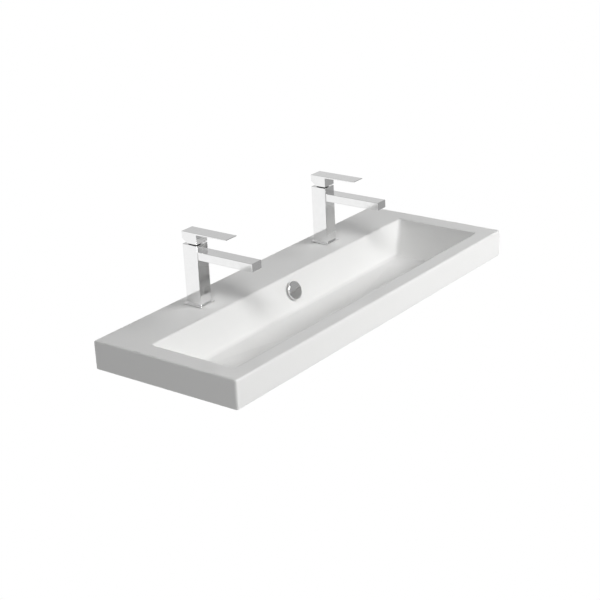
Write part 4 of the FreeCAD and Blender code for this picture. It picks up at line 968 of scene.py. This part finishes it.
class BASIN_OT_waste(bpy.types.Operator):
    """Build the slotted waste, its spider and its nut, and dress their seals"""

    bl_idname = "basin.waste"
    bl_label = "Waste"

    def execute(self, context):
        m = context.scene.basin_metal
        place = (*WASTE_AXIS, WASTE_HIGH.z)
        self.add_tube(m, place)
        reach = m.waste_radius - m.waste_wall / 2
        spider = spider_grid(reach, m.spider_bar, m.spider_hub, m.spider_bore, m.spider_height)
        spider = carried(spider, (*WASTE_AXIS, WASTE_HIGH.z - m.spider_top - m.spider_height))
        spider = grid_mesh("waste_spider", spider, closed_rows=True)
        add_piece(spider, "chrome", FIXED, "chrome", "waste_body")
        low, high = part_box("waste_nut")
        nut = nut_grid(high.y - low.y, m.waste_radius + m.nut_bevel / 10, high.z - low.z, m.nut_bevel)
        nut = grid_mesh("waste_hexagon_nut", carried(nut, (*WASTE_AXIS, low.z)), closed_rows=True)
        add_piece(nut, "brass", FIXED, "brass", "waste_nut", crease=NUT_CREASE)
        dress("rubber", "waste_seal", "waste_washer")
        return {"FINISHED"}

    def add_tube(self, m, place):
        """Turn the flanged tube, cut its threads, and slot it where the overflow channel meets it."""
        tail = WASTE_LOW.z - WASTE_HIGH.z
        bore, flange = m.waste_radius - m.waste_wall, WASTE_HIGH.x - WASTE_AXIS[0]
        relief = tail + m.waste_thread
        nut_thread = threaded_rows(-m.spider_top, relief + m.waste_relief, m.waste_pitch)
        trap_thread = threaded_rows(relief, tail, m.waste_pitch)
        groove = m.waste_radius - m.waste_relief_depth
        mouth = profile_of([
            (bore, tail), (bore, -m.waste_funnel), (bore + m.waste_flare, 0.0), (flange, 0.0),
            (flange, -m.waste_flange), (m.waste_radius, -m.waste_flange),
        ], {1: 3 * m.waste_flare, 3: m.waste_flange_edge})
        profile = np.concatenate((
            mouth,
            np.column_stack((np.full_like(nut_thread, m.waste_radius), nut_thread)),
            [(groove, relief + m.waste_relief), (groove, relief)],
            np.column_stack((np.full_like(trap_thread, m.waste_radius), trap_thread)),
        ))
        points = turn(profile, TUBE_STEPS)
        thread = m.waste_thread_depth, m.waste_pitch
        upper = slice(len(mouth), len(mouth) + len(nut_thread))
        lower = slice(-len(trap_thread), None)
        points[upper] = screwed(points[upper], relief + m.waste_relief, -m.spider_top, *thread)
        points[lower] = screwed(points[lower], tail, relief, *thread)
        mesh = grid_mesh("waste_flanged_tube", carried(points, place), closed_rows=True)
        x, y, floor = place
        long, wide = 2 * m.waste_radius, m.slot_width / 2
        slots = [bar((x - a, y - b, floor - m.slot_foot), (x + a, y + b, floor - m.slot_top))
                 for a, b in ((long, wide), (wide, long))]
        add_piece(cut(mesh, slots), "chrome", FIXED, "chrome", "waste_body")


class BASIN_OT_plug(bpy.types.Operator):
    """Build the push plug and its spring"""

    bl_idname = "basin.plug"
    bl_label = "Plug"

    def execute(self, context):
        m = context.scene.basin_metal
        low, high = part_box("plug_cap")
        radius, top = high.x - WASTE_AXIS[0], high.z - low.z
        outer, inner = m.plug_groove_outer, m.plug_groove_inner
        face = domed_face(radius, m.plug_edge, top, m.crown)
        edge = len(face) - 1
        profile = profile_of([
            *face, (radius, 0.0), (outer, 0.0), (outer, m.plug_groove), (inner, m.plug_groove),
            (inner, 0.0), (m.plug_socket_radius, 0.0), (m.plug_socket_radius, m.plug_socket),
            (POLE, m.plug_socket),
        ], {edge: m.plug_edge, edge + 1: m.plug_edge / 4})
        points = carried(turn(profile, FINE_STEPS), (*WASTE_AXIS, low.z))
        cap = grid_mesh("plug_cap_turned", points, caps=LIDS)
        add_piece(cap, "chrome", PLUG, "chrome", "plug_cap")
        low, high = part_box("plug_spring")
        radius = high.x - WASTE_AXIS[0] - m.spring_wire
        coil = coil_grid(radius, m.spring_wire, low.z, high.z, m.spring_turns)
        wound = grid_mesh("plug_wound_spring", carried(coil, (*WASTE_AXIS, 0.0)), caps=LIDS)
        reach = (PLUG, (*WASTE_AXIS, low.z), (*WASTE_AXIS, high.z))
        add_piece(wound, "stainless", FIXED, "steel", "plug_spring", reach=reach)
        dress("stainless", "plug_stem")
        dress("rubber", "plug_seal")
        dress("acetal", "plug_sleeve")
        return {"FINISHED"}


class BASIN_OT_taps(bpy.types.Operator):
    """Dress the outsides of both taps and build their aerators' meshes"""

    bl_idname = "basin.taps"
    bl_label = "Taps"

    def execute(self, context):
        shown = ("tap_body", "base_plate", "lever", "aerator_housing")
        for side in SIDES:
            dress("chrome", *(f"{side}_{name}" for name in shown))
            # The ring under each lever gets a dark tint that paints in the shade of the gap.
            dress("nickel", f"{side}_dome_ring")
            self.add_mesh(context.scene.basin_metal, side)
            dress("rubber", f"{side}_base_seal", f"{side}_aerator_washer")
            dress("stainless", f"{side}_lever_screw")
            dress(f"{side}_mark", f"{side}_lever_indicator")
        return {"FINISHED"}

    def add_mesh(self, m, side):
        """A drum whose lower face is sunk into a honeycomb of holes."""
        low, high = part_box(f"{side}_aerator_insert")
        centre, radius = (low + high) / 2, (high.x - low.x) / 2
        height = high.z - low.z
        inwards = np.linspace(radius, POLE, 90)
        lower = np.column_stack((inwards, np.zeros_like(inwards)))
        points = turn(np.concatenate(([(POLE, height), (radius, height)], lower)), DRUM_STEPS)
        holes = points[2:]
        plain = MESH_RIM_SHARE * radius
        within = np.clip((plain - np.hypot(holes[..., 0], holes[..., 1])) / m.mesh_hole, 0, 1)
        holes[..., 2] = m.mesh_depth * within * honeycomb(holes[..., 0], holes[..., 1], m.mesh_hole)
        drum = carried(points, (centre.x, centre.y, low.z))
        drum = grid_mesh(f"{side}_aerator_mesh", drum, caps=LIDS)
        add_piece(drum, "acetal", FIXED, "nylon", f"{side}_aerator_insert")


class BASIN_OT_cartridges(bpy.types.Operator):
    """Dress the ceramic disc cartridges inside the taps"""

    bl_idname = "basin.cartridges"
    bl_label = "Cartridges"

    def execute(self, context):
        moulded_pieces = ("cartridge_housing", "cartridge_base", "carrier", "disc_driver")
        for side in SIDES:
            dress("acetal", *(f"{side}_{name}" for name in moulded_pieces))
            dress("alumina", f"{side}_fixed_disc", f"{side}_moving_disc")
            dress("brass", f"{side}_cartridge_nut", f"{side}_spindle")
            dress("rubber", f"{side}_cartridge_seal")
            dress("stainless", f"{side}_pivot_pin")
        return {"FINISHED"}


class BASIN_OT_fixings(bpy.types.Operator):
    """Build the tap studs and nuts under the deck and dress their washers"""

    bl_idname = "basin.fixings"
    bl_label = "Fixings"

    def execute(self, context):
        m = context.scene.basin_metal
        low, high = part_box("tap_studs")
        nut_low, nut_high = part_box("clamp_nuts")
        y = (low.y + high.y) / 2
        rows = threaded_rows(high.z, low.z, m.stud_pitch)
        ends = np.clip(np.minimum(rows - low.z, high.z - rows), 0, m.stud_pitch) - m.stud_pitch
        profile = np.column_stack((m.stud_radius + ends / 2, rows))
        stud = screwed(turn(profile, STUD_STEPS), low.z, high.z, m.stud_thread_depth, m.stud_pitch)
        nut = nut_grid(m.clamp_nut_across, m.stud_radius, nut_high.z - nut_low.z, m.nut_bevel)
        for side in SIDES:
            x = tap_axis(side)[0]
            rod_mesh = grid_mesh(f"{side}_threaded_stud", carried(stud, (x, y, 0.0)), caps=LIDS)
            add_piece(rod_mesh, "zinc", FIXED, "steel", "tap_studs")
            place = (x, y, nut_low.z)
            nut_mesh = grid_mesh(f"{side}_clamp_hexagon_nut", carried(nut, place), closed_rows=True)
            add_piece(nut_mesh, "brass", FIXED, "brass", "clamp_nuts", crease=NUT_CREASE)
        dress("zinc", "clamp_washers")
        dress("rubber", "clamp_gaskets")
        return {"FINISHED"}


class BASIN_OT_stage(bpy.types.Operator):
    """Lay the floor, hang the lights and set the camera"""

    bl_idname = "basin.stage"
    bl_label = "Stage"

    def execute(self, context):
        scene = context.scene
        stage = scene.basin_stage
        white = scene.basin_finishes.floor
        self.add_sheets(stage, white, scene.basin_finishes.card)
        world = bpy.data.worlds.new("studio")
        scene.world = world
        world.use_nodes = True
        sky = world.node_tree.nodes["Background"]
        sky.inputs["Color"].default_value = white
        sky.inputs["Strength"].default_value = SKY_LEVEL
        for name, light in SOFTBOXES.items():
            self.add_softbox(name, *light)
        self.add_camera(scene, stage)
        scene.view_settings.view_transform = "Standard"
        return {"FINISHED"}

    def add_sheets(self, stage, white, grey):
        """The floor, a tent whose cloth darkens upwards, and a grey card that only bright surfaces show.

        The floor and the card are flat grids, and the tent is an arc of one radius carried round z.
        """
        x, y = np.meshgrid((-1.0, 0.0, 1.0), (-1.0, 0.0, 1.0), indexing="ij")
        one = np.ones_like(x)
        flat = np.stack((stage.floor_half * x, stage.floor_half * y, -stage.floor_drop * one), -1)
        self.add_sheet("floor", flat, glowing("pale_floor", white))
        rise = np.radians(np.linspace(TENT_TOP, TENT_FOOT, 40))
        dome = turn(stage.tent * np.stack((np.cos(rise), np.sin(rise)), -1), ROUND_STEPS)
        low, high = (share * stage.tent for share in TENT_FADE_SHARES)
        cloth = glowing("white_cloth_tent", white, (low, high, TENT_LEAST))
        self.add_sheet("tent", dome, cloth, closed_columns=True)
        half_width, half_height, distance = CARD_SIZES
        card = np.stack((half_width * x, half_height * y, distance * one), -1)
        card = self.add_sheet("grey_card", carried(card, (0, 0, 0), CARD_WAY), glowing("grey_card", grey))
        card.visible_camera = False

    def add_sheet(self, name, points, material, closed_columns=False):
        """A sheet of the studio that bright surfaces show, and that lights and shades nothing."""
        sheet = bpy.data.objects.new(name, grid_mesh(name, points, closed_columns=closed_columns))
        sheet.data.materials.append(material)
        sheet.visible_diffuse = False
        sheet.visible_shadow = False
        bpy.context.scene.collection.objects.link(sheet)
        return sheet

    def add_softbox(self, name, place, aim, width, height, watts, mirrored):
        """A rectangular soft light at a place, turned towards an aim, that may show in bright surfaces."""
        lamp = bpy.data.lights.new(name, "AREA")
        lamp.shape = "RECTANGLE"
        lamp.size = width
        lamp.size_y = height
        lamp.energy = watts
        box = bpy.data.objects.new(name, lamp)
        box.location = place
        box.rotation_mode = "QUATERNION"
        box.rotation_quaternion = (Vector(aim) - Vector(place)).to_track_quat("-Z", "Y")
        box.visible_camera = False
        box.visible_glossy = mirrored
        bpy.context.scene.collection.objects.link(box)

    def add_camera(self, scene, stage):
        """The camera at its eye, looking back along its azimuth and elevation, and leaning by its roll."""
        camera = bpy.data.objects.new("camera", bpy.data.cameras.new("camera"))
        scene.collection.objects.link(camera)
        camera.data.lens = stage.lens
        camera.data.sensor_width = SENSOR_MM
        camera.data.clip_end = FARTHEST
        camera.location = stage.eye
        flat = math.cos(stage.elevation)
        back = (math.sin(stage.azimuth) * flat, -math.cos(stage.azimuth) * flat, math.sin(stage.elevation))
        camera.rotation_mode = "QUATERNION"
        level = (-Vector(back)).to_track_quat("-Z", "Y")
        camera.rotation_quaternion = level @ Quaternion((0, 0, 1), -stage.roll)
        scene.camera = camera


class BASIN_PT_panel(bpy.types.Panel):
    """Lists the builders in the order that they run, and the sizes and colours that they read"""

    bl_label = "Trough Basin"
    bl_space_type = "VIEW_3D"
    bl_region_type = "UI"
    bl_category = "Basin"

    def draw(self, context):
        for operator in OPERATORS:
            self.layout.operator(operator.bl_idname)
        for name, group in GROUPS.items():
            for size in group.__annotations__:
                self.layout.prop(getattr(context.scene, name), size)


GROUPS = {
    "basin_china": ChinaSizes,
    "basin_metal": MetalSizes,
    "basin_finishes": Finishes,
    "basin_stage": StageSettings,
}
OPERATORS = (
    BASIN_OT_china, BASIN_OT_overflow, BASIN_OT_waste, BASIN_OT_plug, BASIN_OT_taps,
    BASIN_OT_cartridges, BASIN_OT_fixings, BASIN_OT_stage,
)


def register():
    """Register the classes and hang the sizes on the scene."""
    for cls in (*GROUPS.values(), *OPERATORS, BASIN_PT_panel):
        bpy.utils.register_class(cls)
    for name, group in GROUPS.items():
        setattr(bpy.types.Scene, name, PointerProperty(type=group))


def unregister():
    """Take the sizes off the scene and unregister the classes."""
    for name in GROUPS:
        delattr(bpy.types.Scene, name)
    for cls in reversed((*GROUPS.values(), *OPERATORS, BASIN_PT_panel)):
        bpy.utils.unregister_class(cls)


def main():
    """Build every piece and the stage."""
    register()
    bpy.ops.basin.china()
    bpy.ops.basin.overflow()
    bpy.ops.basin.waste()
    bpy.ops.basin.plug()
    bpy.ops.basin.taps()
    bpy.ops.basin.cartridges()
    bpy.ops.basin.fixings()
    bpy.ops.basin.stage()


if __name__ == "__main__":
    main()
